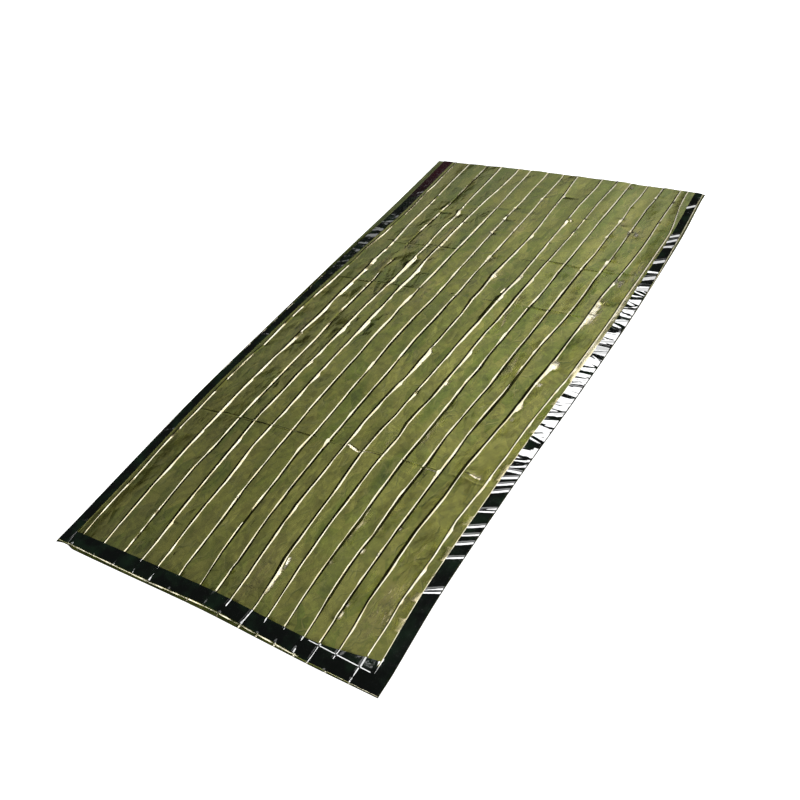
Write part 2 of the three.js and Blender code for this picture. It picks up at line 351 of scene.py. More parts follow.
# Rise of the slope that a shaded flank needs, for each millimetre across the bag
SHADED_SLOPE_RISE = math.radians(0.008)

# Shares of its usual run that a lit flank takes by chance from one knot to the next
LIT_SHARES = [0.4, 0.6, 0.7, 0.8, 0.9, 1, 1, 1.1, 1.3, 1.7]

# How many creases from the left have a bolder lit flank, by how much, and where that sets in and fades
BOLD_CREASES = 6
BOLDER = 0.35
BOLD_FROM = (-150, 50)
BOLD_TO = (600, 750)

# Share of the usual shaded run on the first and last creases, which lie close to a tape
SHADED_SHARES = {0: 0.65, 15: 0.45}

# Where a crease kinks and where its lit flank changes: the first place and the range of the gaps
KINK_START = -960
KINK_GAPS = (45, 150)
LIT_START = -970
LIT_GAPS = (14, 50)
CREASE_END = 1000

# How much a lit flank evens out towards the head, and between which distances
EVEN_SHARE = 0.7
EVEN_RANGE = (350, 700)

# How much a lit flank narrows towards the foot, and between which distances
NARROW_FOOT = (0.25, 560, 860)

# How much a shaded flank shrinks towards the head and the foot, and between which distances
HEAD_SHRINK = 0.45
HEAD_SHRINK_RANGE = (300, 780)
FOOT_SHRINK = 0.5
FOOT_SHRINK_RANGE = (780, 930)

# Run in which a flare ends past its wide end
FLARE_TIP = 7

# Share of the kinks that have a knuckle
KNUCKLED_SHARE = 0.45

# Run on either side of a cross fold in which a crease's lie changes
LIE_RUN = 6


def chance_places(chance, start, gaps):
    """Places along the bag from the start, with chance gaps between them."""
    places = [float(start)]
    while places[-1] < CREASE_END:
        places.append(places[-1] + chance.uniform(*gaps))
    return places


class Crease:
    """One pack crease: its kinked path, its uneven flanks and the knuckles beside it."""

    def __init__(self, order, path, way, shape):
        chance = random.Random(shape.seed + 31 * order)
        self.way = way
        self.lit_side = 1 if way > 0 else 0
        self.smooth_path = line_through(STATIONS, path)
        self.knots = chance_places(chance, KINK_START, KINK_GAPS)
        kink = shape.crease_kink / MM
        self.kinks = [chance.uniform(-kink, kink) for _ in self.knots]
        self.lit_knots = chance_places(chance, LIT_START, LIT_GAPS)
        self.usual_lit = shape.lit_flank / MM
        self.bolder = BOLDER if order < BOLD_CREASES else 0
        self.lit = [self.usual_lit * chance.choice(LIT_SHARES) for _ in self.lit_knots]
        shaded = shape.shaded_flank / MM * SHADED_SHARES.get(order, 1)
        self.shaded = [shaded * chance.uniform(0.7, 1.25) for _ in self.knots]
        self.head_shrink = HEAD_SHRINK if order else 0
        self.lit_slope = math.tan(shape.lit_slope - LIT_SLOPE_FALL * path[3])
        self.shaded_slope = math.tan(shape.shaded_slope + SHADED_SLOPE_RISE * path[3])
        self.flares = FLARES[order + 1]
        self.knuckles = [
            (knot, chance.uniform(0.4, 1.3), chance.uniform(3, 8), chance.uniform(3.5, 6))
            for knot in self.knots
            if chance.random() < KNUCKLED_SHARE
        ]
        self.lies = [chance.uniform(-1, 1) * shape.facet_lean / MM for _ in range(len(CROSS_FOLDS) + 1)]

    def at(self, y):
        """X of the crease line."""
        return self.smooth_path(y) + np.interp(y, self.knots, self.kinks)

    def lit_width(self, y):
        """Run of the flank that faces right: less at the foot, more even at the head, more at a flare."""
        uneven = np.interp(y, self.lit_knots, self.lit)
        even_share = EVEN_SHARE * smoothstep(y, *EVEN_RANGE)
        width = uneven + even_share * (self.usual_lit - uneven)
        width = width * faded(-y, *NARROW_FOOT)
        width = width * (1 + self.bolder * smoothstep(y, *BOLD_FROM) * (1 - smoothstep(y, *BOLD_TO)))
        for top, length, extra in self.flares:
            width = width + extra * np.interp(y, [top - length, top, top + FLARE_TIP], [0, 1, 0])
        return width

    def shaded_width(self, y):
        """Run of the flank that faces left."""
        at_head = self.head_shrink * smoothstep(y, *HEAD_SHRINK_RANGE)
        at_foot = FOOT_SHRINK * smoothstep(-y, *FOOT_SHRINK_RANGE)
        return np.interp(y, self.knots, self.shaded) * (1 - (at_head + at_foot))

    def half_width(self, y, side):
        """Run of the left (0) or right (1) flank."""
        return self.lit_width(y) if side == self.lit_side else self.shaded_width(y)

    def crest(self, y):
        """Height of the crease line above the film on its left."""
        if self.way > 0:
            return self.shaded_slope * self.shaded_width(y)
        return -self.lit_slope * self.lit_width(y)

    def beyond(self, y):
        """Height of the film on the crease's right above that on its left."""
        return self.shaded_slope * self.shaded_width(y) - self.lit_slope * self.lit_width(y)

    def rise(self, x, y, next_line):
        """Height that the crease adds, up one flank, down the other and level again at the next line."""
        away = x - self.at(y)
        before = np.maximum(0, 1 + away / self.half_width(y, 0))
        after = np.maximum(0, 1 - away / self.half_width(y, 1))
        fall = np.clip(1 - away / (next_line - self.at(y)), 0, 1) ** 1.5
        crest, beyond = self.crest(y), self.beyond(y)
        return np.where(away < 0, crest * before, beyond * fall + (crest - beyond) * after)

    def knuckled(self, x, y):
        """How strongly each place belongs to a small pucker where the crease kinks."""
        away = x - self.at(y)
        total = np.zeros_like(x)
        for knot, strength, beside, half in self.knuckles:
            total += strength * np.maximum(0, 1 - np.hypot(away - beside, y - knot) / (1.5 * half))
        return total

    def lie(self, row):
        """How much higher or lower the crease's foot lies in each span between cross folds."""
        places, values = [], []
        for (at, *_), before, after in zip(CROSS_FOLDS, self.lies[:-1], self.lies[1:]):
            places += [at - LIE_RUN, at + LIE_RUN]
            values += [before, after]
        return np.interp(row, places, values)


# Mesh helpers

def deselect_all():
    """Leaves nothing selected, because operators act on all that is."""
    bpy.ops.object.select_all(action="DESELECT")


def sheet_from_grid(name, points):
    """A one-layer sheet from rows of points in millimetres, each next row to the left of a row's way."""
    rows, columns = points.shape[:2]
    deselect_all()
    bpy.ops.mesh.primitive_grid_add(x_subdivisions=columns - 1, y_subdivisions=rows - 1, size=1)
    sheet = bpy.context.object
    sheet.name = name
    sheet.data.name = name
    sheet.data.vertices.foreach_set("co", (points * MM).astype(np.float32).ravel())
    sheet.data.update()
    return sheet


def set_attribute(sheet, name, values):
    """Stores a number for each point of a one-layer sheet."""
    attribute = sheet.data.attributes.new(name, "FLOAT", "POINT")
    attribute.data.foreach_set("value", values.astype(np.float32).ravel())


def set_face_attribute(sheet, name, values):
    """Stores a number for each face of a one-layer sheet, given by rows and columns of faces."""
    columns = values.shape[1] + 1
    corners = np.empty(4 * len(sheet.data.polygons), dtype=np.int32)
    sheet.data.loops.foreach_get("vertex_index", corners)
    row, column = np.divmod(corners.reshape(-1, 4).min(axis=1), columns)
    attribute = sheet.data.attributes.new(name, "FLOAT", "FACE")
    attribute.data.foreach_set("value", values[row, column].astype(np.float32))


def thicken(sheet, thickness):
    """Gives a sheet its thickness, upwards from the points it was laid on."""
    solidify = sheet.modifiers.new("Thickness", "SOLIDIFY")
    solidify.thickness = thickness
    solidify.offset = 1
    solidify.use_even_offset = False
    bpy.ops.object.modifier_apply(modifier=solidify.name)


def finish_sheet(sheet, node, material, smooth_angle):
    """Shades a sheet, gives it its material, hangs it on the root body and hides the solid it stands for.
    """
    bpy.ops.object.shade_smooth_by_angle(angle=smooth_angle)
    sheet.data.materials.clear()
    sheet.data.materials.append(material)
    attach(sheet, "root")
    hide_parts(node)


# Front film

# Mean width of a tape
TAPE_WIDTH = 36

# Run of the film beside a crease's flanks, and the places of the columns in the strip between two creases
CREASE_SHOULDER = 4
STRIP_SHARES = [0.2, 0.4, 0.6, 0.8]

# The film's low roll beside the right tape: distances from the tape, and rise
EDGE_ROLL_START = 14
EDGE_ROLL_CREST = 2.4
EDGE_ROLL_END = 1
EDGE_ROLL_RISE = 0.4

# Half width and half length of a place where the rows of faces turn
TURN_HALF_WIDTH = 34
TURN_HALF_LENGTH = 30

# Room that a crease's columns take of the way to the next crease or to a tape, and the flanks' share of it
ROOM_SHARE = 0.45
LEFT_TAPE_ROOM = 1.5
RIGHT_TAPE_ROOM = 6
FLANK_SHARE = 0.7
TAPE_INSET = 0.5

# Cross folds that are this high have closer rows of faces within this reach
MAIN_FOLD_RISE = 0.7
CLOSE_ROW_REACH = 16
CLOSE_ROW_SHARE = 0.4

# Slopes in degrees from which a folded face mirrors the lamps and gets a pale painted highlight, and how
# they change for each millimetre over the bag
HIGHLIGHT_RIGHT_SLOPE = 17
HIGHLIGHT_RIGHT_FALL = 0.0232
HIGHLIGHT_FOOT_SLOPE = 22
HIGHLIGHT_FOOT_RISE = 0.0185
HIGHLIGHT_FOOT_Y = -410

# Chance waves of the film: size across, size along and seed
LOFT_WAVES = (260, 330, 3.1)
CRUMPLE_WAVES = (13, 22, 9.7)
SOFT_WAVES = (60, 110, 5.3)
SMALL_WAVES = (28, 34, 6.1)
ROLL_WAVES = (40, 1e4, 8.3)

# How much crumples and soft waves fade towards the sides, and between which distances from the middle
CRUMPLES_LEFT = (0.9, 40, 200)
WAVES_RIGHT = (0.6, 220, 430)
WAVES_LEFT = (0.6, 160, 380)

# How much the facets fade towards the sides and the head, and the crinkles towards the head
FACETS_RIGHT = (0.7, 40, 320)
FACETS_LEFT = (0.65, 230, 400)
FACETS_HEAD = (0.3, 550, 850)
CRINKLES_HEAD = (0.6, 350, 750)

# Tone of the film: its least, and what chance, browner places, deeper places of painted shade and the foot
# add
TONE_BASE = 0.25
TONE_CHANCE = 0.5
TONE_BROWN = 0.5
TONE_SHADED = -0.7
TONE_FOOT = 0.28
TONE_FOOT_FROM = (0, 550)
TONE_FOOT_FADE = (0.6, 700, 930)
TONE_RUN = 8

# How sharply crumpled and coloured places end
CRUMPLE_POWER = 1.5
COLOUR_POWER = 2


def inside_sides(x, y):
    """How far a place on the front film lies inside its two sealed sides."""
    return np.minimum(x - left_tape_inner(y), right_tape_inner(y) - x)


def inside_foot(x, y):
    """How far a place on the front film lies inside its sealed foot."""
    return y - foot_tape_inner(x)


def front_row_y(row, x):
    """Y of a row of the front film, which bends with its ends and lies askew in between."""
    foot = foot_tape_inner(0)
    foot_share = 1 - smoothstep(row, foot, foot + 2 * SETTLE)
    head_share = smoothstep(row, HEAD - 2 * SETTLE, HEAD)
    askew = SLANT * np.maximum(0, 1 - (row / HEAD) ** 2) * x * (1 - foot_share) * (1 - head_share)
    for at_x, at_y, turn in ROW_TURNS:
        across, along = (x - at_x) / TURN_HALF_WIDTH, (row + SLANT * x - at_y) / TURN_HALF_LENGTH
        near = np.exp(-across ** 2 - along ** 2)
        askew = askew + turn * (x - at_x) * near
    return row + askew + (foot_tape_inner(x) - foot) * foot_share + (head_edge(x) - HEAD) * head_share


def front_columns(y, creases):
    """X of every column of the front film at the places y, as a list of arrays."""
    left, right = left_tape_inner(y), right_tape_inner(y)
    lines = [crease.at(y) for crease in creases]
    columns = [left - LAP, left - TAPE_INSET]
    for i, (crease, line) in enumerate(zip(creases, lines)):
        room_before, room_after = line - left - LEFT_TAPE_ROOM, right - line - RIGHT_TAPE_ROOM
        if i:
            room_before = ROOM_SHARE * (line - lines[i - 1])
        if i + 1 < len(lines):
            room_after = ROOM_SHARE * (lines[i + 1] - line)
        before = np.minimum(crease.half_width(y, 0), FLANK_SHARE * room_before)
        after = np.minimum(crease.half_width(y, 1), FLANK_SHARE * room_after)
        first = line - np.minimum(before + CREASE_SHOULDER, room_before)
        last = line + np.minimum(after + CREASE_SHOULDER, room_after)
        if i:
            columns.extend(strip_start + (first - strip_start) * share for share in STRIP_SHARES)
        columns.extend([first, line - before, line, line + after, last])
        strip_start = last
    return columns + [right - EDGE_ROLL_CREST, right - EDGE_ROLL_END, right + TAPE_INSET, right + LAP]


def front_rows(step):
    """Rows of the front film, closer together at its cross folds."""
    rows = [foot_tape_inner(0) - LAP]
    folds = [at for at, rise, _ in CROSS_FOLDS if rise > MAIN_FOLD_RISE]
    while rows[-1] < HEAD - step:
        nearest = min(abs(rows[-1] - at) for at in folds)
        rows.append(rows[-1] + (step if nearest > CLOSE_ROW_REACH else CLOSE_ROW_SHARE * step))
    rows[-1] = HEAD
    return np.array(rows, dtype=float)


def within_places(x, y, places, power):
    """Share from 0 to 1 by which each point lies within one of the listed places."""
    share = np.zeros_like(x)
    for centre_x, centre_y, half_width, half_length in places:
        away = ((x - centre_x) / half_width) ** 2 + ((y - centre_y) / half_length) ** 2
        share = np.maximum(share, np.exp(-(away ** power)))
    return share


def puckered(x, y):
    """Height of the puckers that stand on the film."""
    rise = np.zeros_like(x)
    for centre_x, centre_y, height, half_width, half_length in PUCKERS:
        away = np.hypot((x - centre_x) / (1.4 * half_width), (y - centre_y) / (1.4 * half_length))
        rise += height * np.maximum(0, 1 - away)
    return rise


def ridged(x, y):
    """Height of the short ridges on the film."""
    rise = np.zeros_like(x)
    for from_x, from_y, to_x, to_y, height, flank in RIDGES:
        run_x, run_y = to_x - from_x, to_y - from_y
        length = math.hypot(run_x, run_y)
        share = np.clip(((x - from_x) * run_x + (y - from_y) * run_y) / length ** 2, 0, 1)
        away = np.hypot(x - from_x - share * run_x, y - from_y - share * run_y)
        rise += height * np.maximum(0, 1 - away / flank)
    return rise


def edge_roll(x, y):
    """Height of the film's low roll beside the right tape, which fades towards the head."""
    beside = right_tape_inner(y) - x
    shown = (1 - smoothstep(y, 0, 350)) * (0.85 + 0.5 * field(y, y, *ROLL_WAVES))
    places = [EDGE_ROLL_END, EDGE_ROLL_CREST, EDGE_ROLL_START]
    return shown * np.interp(beside, places, [0, EDGE_ROLL_RISE, 0])


def laid_rise(x, y, foot, shape):
    """Height at which the film lies before any fold: low where a tape holds it, and lofty in between."""
    loft = shape.loft / MM * (1 + 0.2 * field(x, y, *LOFT_WAVES))
    under_tape = np.clip((x - right_tape_inner(y)) / TAPE_WIDTH, 0, 1)
    held = right_lift(y) * smoothstep(x, 300, 440) * (1 - under_tape)
    raised = FOOT_LIFT * smoothstep(foot, -TAPE_WIDTH, 0) * (1 - smoothstep(foot, SETTLE, 6 * SETTLE))
    held = np.maximum(held, raised * smoothstep(x - left_tape_inner(y), 0, SETTLE))
    from_left = smoothstep(x - left_tape_inner(y), 0, 4 * SETTLE)
    from_right = smoothstep(right_tape_inner(y) - x, 0, 5 * SETTLE)
    return held + (loft - held) * from_left * from_right * smoothstep(foot, -SEAT, 7 * SETTLE)


def front_rise(x, y, row, creases, shape):
    """Height of the front film's underside above its seal to the back film, and how crumpled it is."""
    sides, foot = inside_sides(x, y), inside_foot(x, y)
    settled = smoothstep(np.minimum(sides, foot), 0, SETTLE)
    seated = np.minimum(smoothstep(sides, 0, 0.7 * SEAT), smoothstep(foot, -SEAT / 2, SEAT / 2))
    rise = laid_rise(x, y, foot, shape)

    # Facets between creases and cross folds lean by turns and belly a little
    lines = [crease.at(y) for crease in creases]
    for i in range(len(creases) - 1):
        share = (x - lines[i]) / (lines[i + 1] - lines[i])
        within = (share >= 0) & (share < 1)
        lie = creases[i].lie(row) * (1 - share) + creases[i + 1].lie(row) * share
        belly = np.sin(y / (150 + 9 * i) + 1.7 * i) * 4 * share * (1 - share)
        rise += within * settled * (lie + shape.belly / MM * belly)

    for crease, next_line in zip(creases, [*lines[1:], right_tape_inner(y)]):
        rise += seated * crease.rise(x, y, next_line)
        rise += settled * shape.knuckle / MM * crease.knuckled(x, y)

    # Cross folds step a little from strip to strip
    strips = np.sum([line <= x for line in lines], axis=0)
    for order, (at, height, flank) in enumerate(CROSS_FOLDS):
        chance = random.Random(shape.seed + 400 + order)
        steps = np.array([chance.uniform(-5, 5) for _ in range(len(creases) + 1)])
        gains = np.array([chance.uniform(0.5, 1.2) for _ in range(len(creases) + 1)])
        away = row - at - steps[strips]
        rise += settled * height * gains[strips] * np.maximum(0, 1 - np.abs(away) / flank)

    rise += seated * (puckered(x, y) + ridged(x, y)) + edge_roll(x, y)
    rough = within_places(x, y, CRUMPLES, CRUMPLE_POWER)
    lower = faded(-x, *CRUMPLES_LEFT)
    rise += settled * shape.crumple / MM * rough * lower * 2 * field(x, y, *CRUMPLE_WAVES)
    waves = field(x, y, *SOFT_WAVES) + 0.3 * field(x, y, *SMALL_WAVES)
    calm = faded(x, *WAVES_RIGHT) * faded(-x, *WAVES_LEFT)
    rise += settled * shape.undulation / MM * waves * calm
    return np.maximum(rise, 0), rough


def lamp_facing_folds(x, y, rise):
    """Share from 0 to 1 by which each face falls steeply enough to the right or the foot to mirror the
    lamps, where a pale painted highlight goes.
    """
    fall_right = -np.diff(rise, axis=1) / np.diff(x, axis=1)
    fall_foot = np.diff(rise, axis=0) / np.diff(y, axis=0)
    steep_right = np.degrees(np.arctan((fall_right[:-1] + fall_right[1:]) / 2))
    steep_foot = np.degrees(np.arctan((fall_foot[:, :-1] + fall_foot[:, 1:]) / 2))
    needed_right = HIGHLIGHT_RIGHT_SLOPE - HIGHLIGHT_RIGHT_FALL * x[:-1, :-1]
    needed_foot = HIGHLIGHT_FOOT_SLOPE + HIGHLIGHT_FOOT_RISE * (y[:-1, :-1] - HIGHLIGHT_FOOT_Y)
    right = smoothstep(steep_right, needed_right - 3, needed_right + 0.5)
    foot = smoothstep(steep_foot, needed_foot - 4, needed_foot)
    return np.maximum(right, foot)


def facet_tone(x, y, row, creases, shape):
    """A number from 0 to 1 for each facet between creases and cross folds, greener to browner."""
    chance = random.Random(shape.seed + 900)
    spans = len(CROSS_FOLDS) + 1
    tones = np.array([[chance.random() for _ in range(spans)] for _ in range(len(creases) + 1)])
    strips = np.sum([crease.at(y) <= x for crease in creases], axis=0)
    tone = tones[strips, 0]
    for order, (at, *_) in enumerate(CROSS_FOLDS):
        past = smoothstep(row, at - TONE_RUN, at + TONE_RUN)
        tone = tone * (1 - past) + tones[strips, order + 1] * past
    brown = within_places(x, y, BROWN_PLACES, COLOUR_POWER)
    # Painted shade: deeper green beside creases
    deep_painted_shade = within_places(x, y, SHADED_PLACES, COLOUR_POWER)
    near_foot = smoothstep(-y, *TONE_FOOT_FROM) * faded(-y, *TONE_FOOT_FADE)
    tone = TONE_BASE + TONE_CHANCE * tone + TONE_BROWN * brown + TONE_SHADED * deep_painted_shade + TONE_FOOT * near_foot
    return np.clip(tone, 0, 1)


def build_front_panel(shape, finish):
    """The upper film, with its pack creases, cross folds and puckers."""
    creases = [Crease(i, path, way, shape) for i, (path, way) in enumerate(CREASES)]
    rows = front_rows(shape.row_step / MM)
    nominal = np.stack(front_columns(rows, creases), axis=1)
    row = np.repeat(rows[:, None], nominal.shape[1], axis=1)
    y = front_row_y(row, nominal)
    x = np.stack([front_columns(y[:, i], creases)[i] for i in range(y.shape[1])], axis=1)
    rise, rough = front_rise(x, y, row, creases, shape)
    sheet = sheet_from_grid("front_film", np.stack([x, y, LAYER + rise], axis=2))
    set_attribute(sheet, "crumpled", rough)
    faceted = faded(x, *FACETS_RIGHT) * faded(-x, *FACETS_LEFT) * faded(y, *FACETS_HEAD)
    set_attribute(sheet, "faceted", faceted)
    set_attribute(sheet, "crinkled", faded(y, *CRINKLES_HEAD))
    # The worn share is a painted highlight: pale metal colour only on faces that mirror the lamps
    set_face_attribute(sheet, "worn", lamp_facing_folds(x, y, rise))
    set_attribute(sheet, "facet_tone", facet_tone(x, y, row, creases, shape))
    thicken(sheet, shape.film_thickness)
    material = film_material("front_film_olive", finish)
    finish_sheet(sheet, "front_panel", material, math.radians(12))


# Back film

# Distances from the edge at which the lower film has closer faces
EDGE_STEPS = [0, 1.2, 2.4, 3.6, 4.8, 6, 7.2, 8.4, 9.6, 10.8, 12, 14, 17, 24]

# The margin's low step beside the tapes: distances from a tape, and shares of its height there
MARGIN_PLACES = [0, 1.5, 4, 10]
MARGIN_SHARES = [0, 1, 0.35, 0.1]
MARGIN_WAVES = (24, 24, 1.7)

# Runs of the flanks of a pack crease where it crosses the foot
FOOT_CREASE_LEFT = 5
FOOT_CREASE_RIGHT = 2.6


def foot_crease(away):
    """Share from 0 to 1 of a pack crease's height where it crosses the foot, at a distance from it."""
    return np.maximum(0, 1 - np.abs(away) / np.where(away > 0, FOOT_CREASE_RIGHT, FOOT_CREASE_LEFT))


def margin_rise(x, y, seed):
    """Height of the lower film's margin: a low step beside the tapes, and the creases across its foot."""
    outside = np.maximum(left_tape_outer(y) - x, x - right_tape_outer(y))
    beyond_foot = foot_tape_outer(x) - y
    outside = np.maximum(outside, beyond_foot)
    height = 0.8 + 0.6 * np.abs(field(x, y, *MARGIN_WAVES))
    rise = height * np.interp(outside, MARGIN_PLACES, MARGIN_SHARES)
    chance = random.Random(seed)
    for path, _ in CREASES:
        away = x - path[0] - chance.uniform(-6, 6)
        tick = chance.uniform(0.5, 1.4) * foot_crease(away)
        rise = rise + tick * smoothstep(beyond_foot, -1, 1)
    return rise


def build_back_panel(shape, finish):
    """The lower film, flat on the ground, with its edge showing outside the tapes."""
    edge = np.array(EDGE_STEPS) / (2 * HALF_WIDTH)
    across = np.concatenate([edge, np.linspace(0.04, 0.96, 300), 1 - edge[::-1]])
    edge = np.array(EDGE_STEPS) / (2 * HEAD)
    along = np.concatenate([edge, np.linspace(0.02, 1, 100)])
    nominal_y = -HEAD + 2 * HEAD * along[:, None]
    x = back_left(nominal_y) + (back_right(nominal_y) - back_left(nominal_y)) * across[None, :]
    y = back_foot(x) + (head_edge(x) - back_foot(x)) * along[:, None]
    rise = margin_rise(x, y, shape.seed + 8)
    to_edge = np.minimum(np.minimum(x - back_left(y), back_right(y) - x), y - back_foot(x))
    sheet = sheet_from_grid("back_film", np.stack([x, y, rise], axis=2))
    # Painted shadow: the rim share darkens the last two millimetres of the lower film's cut edge to near
    # black
    set_attribute(sheet, "rim", 1 - smoothstep(to_edge, 0.6, 2.2))
    # The worn share is a painted highlight: pale metal colour only on faces that mirror the lamps
    set_face_attribute(sheet, "worn", lamp_facing_folds(x, y, rise))
    thicken(sheet, shape.film_thickness)
    material = film_material("back_film_olive", finish)
    finish_sheet(sheet, "back_panel", material, math.radians(8))


# Seal tapes

# Run and rise of the right tape's inner edge, which curls up
LIP_RUN = 2.4
LIP_CURL = 0.5

# Row of the shares of a tape's width at which it has points
ACROSS = np.array([[0, LIP_RUN, 5, 8, 12, 16, 20, 24, 28, 32, 34.5, TAPE_WIDTH]]) / TAPE_WIDTH

# Numbers of rows of points along the tapes
FOOT_ROWS = 600
LEFT_ROWS = 420
RETURN_ROWS = 110
LEG_ROWS = 880

# How far the left tape's outer edge is raised, and where that sets in and fades
LEFT_LEVEL = 0.42
LEFT_LEVEL_FROM = (150, 260)
LEFT_LEVEL_TO = (560, 680)

# Y at which the right tape's long leg starts, and the stretch in which it comes off the foot tape
LEG_START = -910
LEG_OFF_FOOT = (-908, -890)


def chance_pleats(spans, seed):
    """Pleats by chance along the spans of a tape: place, rise, half length and how far they run askew."""
    chance = random.Random(seed)
    for start, end, pitch, rise, half in spans:
        at = start + chance.uniform(0.2, 0.8) * pitch
        while at < end:
            skew = chance.uniform(-20, 20)
            height = rise * chance.uniform(0.35, 1.2)
            yield at, height, half * chance.uniform(0.6, 1.4), skew
            at += pitch * chance.uniform(0.5, 1.5)


def pleat_lift(along, pleats):
    """Height of the pleats that cross a tape."""
    lift = np.zeros((len(along), ACROSS.size))
    for at, rise, half, skew in pleats:
        away = (along[:, None] - at - skew * (ACROSS - 0.5)) / half
        lift += rise * np.exp(-away * away)
    return lift


def tape_grid(inner, outer, lift):
    """Points of a tape from its two edges, falling from the front film to the back film between them."""
    x, y = [start[:, None] + (end - start)[:, None] * ACROSS for start, end in zip(inner, outer)]
    return np.stack([x, y, 2 * LAYER - LAYER * ACROSS + lift], axis=2)


def finish_tape(name, points, node, shape, material):
    """Makes a tape from its points, gives it its thickness and hides the solid it stands for."""
    sheet = sheet_from_grid(name, points)
    thicken(sheet, shape.tape_thickness)
    finish_sheet(sheet, node, material, math.radians(50))


def foot_ridges(x, seed):
    """Height of the pack creases that run on, broken, across the foot tapes."""
    chance = random.Random(seed)
    lift = np.zeros((len(x), ACROSS.size))
    for path, _ in CREASES:
        height = chance.uniform(0.7, 1.7)
        reach = chance.choice([0.15, 0.3, 0.5, 1.2])
        again = chance.uniform(0.75, 1.1)
        lean = chance.uniform(-5, 5)
        shown = 1 - smoothstep(ACROSS, reach, reach + 0.2) + smoothstep(ACROSS, again - 0.1, again)
        lift += shown * height * foot_crease(x[:, None] - path[0] - lean * ACROSS)
    return lift


def build_foot_tape(shape, material):
    """Tape across the foot, its ends under the two side tapes."""
    left = left_tape_inner(STATIONS[0]) - LAP + 2
    right = right_tape_inner(STATIONS[0]) + LAP - 2
    x = np.linspace(left, right, FOOT_ROWS)
    inner = (x, foot_tape_inner(x))
    outer = (x, foot_tape_outer(x))
    lift = foot_ridges(x, shape.seed + 5)
    lift += pleat_lift(x, chance_pleats(FOOT_PLEATS, shape.seed + 1))
    lift += FOOT_LIFT * (1 - ACROSS)
    ends = smoothstep(np.minimum(x - left, right - x), 8, 24)[:, None]
    points = tape_grid(inner, outer, lift * ends)
    finish_tape("foot_tape", points, "foot_seal_tape", shape, material)


def build_left_tape(shape, material):
    """Tape from the head to the foot, over the end of the foot tape."""
    y = np.linspace(LEFT_TAPE_FOOT, head_edge(left_tape_inner(HEAD)), LEFT_ROWS)
    inner = (left_tape_inner(y), y)
    outer = (left_tape_outer(y), y)
    foot = FOOT_TAPE_INNER[0]
    over_foot = LAYER * (1 - smoothstep(y, foot + SEAT, foot + 2 * SEAT))
    level = LEFT_LEVEL * smoothstep(y, *LEFT_LEVEL_FROM) * (1 - smoothstep(y, *LEFT_LEVEL_TO))
    lift = over_foot[:, None] + level[:, None] * ACROSS
    lift += pleat_lift(y, chance_pleats(LEFT_PLEATS, shape.seed + 2))
    points = tape_grid(inner, outer, lift)[:, ::-1]
    finish_tape("left_tape", points, "left_seal_tape", shape, material)


def build_right_tape(shape, material):
    """Tape from the head to the foot, folded round the corner and back along the foot tape."""
    corner_x = float(right_tape_inner(STATIONS[0]))
    back_x = np.linspace(RETURN_END, corner_x - SEAT, RETURN_ROWS)
    share = (back_x - RETURN_END) / (corner_x - RETURN_END)
    back_inner = RETURN_INNER_AT_END + (RETURN_INNER_AT_CORNER - RETURN_INNER_AT_END) * share
    leg_y = np.linspace(LEG_START, head_edge(right_tape_inner(HEAD)), LEG_ROWS)
    inner_x = np.concatenate([back_x, [corner_x], right_tape_inner(leg_y)])
    inner_y = np.concatenate([back_inner, [RETURN_INNER_AT_CORNER], leg_y])
    outer_x = np.concatenate([back_x, [right_tape_outer(STATIONS[0])], right_tape_outer(leg_y)])
    outer_y = np.concatenate([np.full_like(back_x, RETURN_OUTER), [RETURN_OUTER], leg_y])
    curl = LIP_CURL * np.maximum(0, 1 - ACROSS * TAPE_WIDTH / LIP_RUN)
    raised = LAYER + FOOT_LIFT * (1 - ACROSS)
    back_lift = raised + foot_ridges(back_x, shape.seed + 6) + 1.3 * curl
    corner_lift = raised + curl
    over_foot = LAYER * (1 - smoothstep(leg_y, *LEG_OFF_FOOT))
    leg_lift = over_foot[:, None] + right_lift(leg_y)[:, None] * (1 - ACROSS)
    leg_lift += pleat_lift(leg_y, RIGHT_STREAKS)
    leg_lift += pleat_lift(leg_y, chance_pleats(RIGHT_PLEATS, shape.seed + 3))
    lift = np.concatenate([back_lift, corner_lift, leg_lift])
    points = tape_grid((inner_x, inner_y), (outer_x, outer_y), lift)
    finish_tape("right_tape", points, "right_seal_tape", shape, material)


# Materials

# Values between which most of a noise lies
NOISE_MIDDLE = (0.3, 0.7)

# Facets of the film, broad and fine: scale, stretch, turn, height and size of the patches they come in
BROAD_FACETS = (22, (1.5, 0.8, 1), -0.2, 1, 9)
FINE_FACETS = (50, (1.2, 0.8, 1), 0.5, 0.32, 14)

# Fine crinkles all over the film, painted darker or lighter shard by shard as shade and highlight: scale,
# length, turn and how much darker or lighter they are
SHARDS = [
    (50, 3, 0.45, 0.17),
    (62, 3, -0.6, 0.17),
    (95, 2.5, 1.3, 0.15),
]

# Crinkles of crumpled places: scale, stretch and turn
CRINKLES = (60, (1.3, 0.75, 1), 0.35)

# Painted highlight where the film's bent normal faces the lamps: axis, gain for each metre along it, and
# the least and the full bend
HIGHLIGHT_BENDS = [
    ("X", 0.3, 0.185, 0.25),
    ("Y", 0.31, -0.43, -0.5),
]

# The left tape's tinted head end: axis, and the places in metres where the tint starts and is full
TINTED_END = [
    ("X", -0.3, -0.4),
    ("Y", 0.68, 0.9),
]

# How far a wrinkle's painted highlight lies from its painted shade, in metres
WRINKLE_WIDTH = 0.003


def opaque(colour):
    """A colour with its alpha."""
    return (*colour, 1)


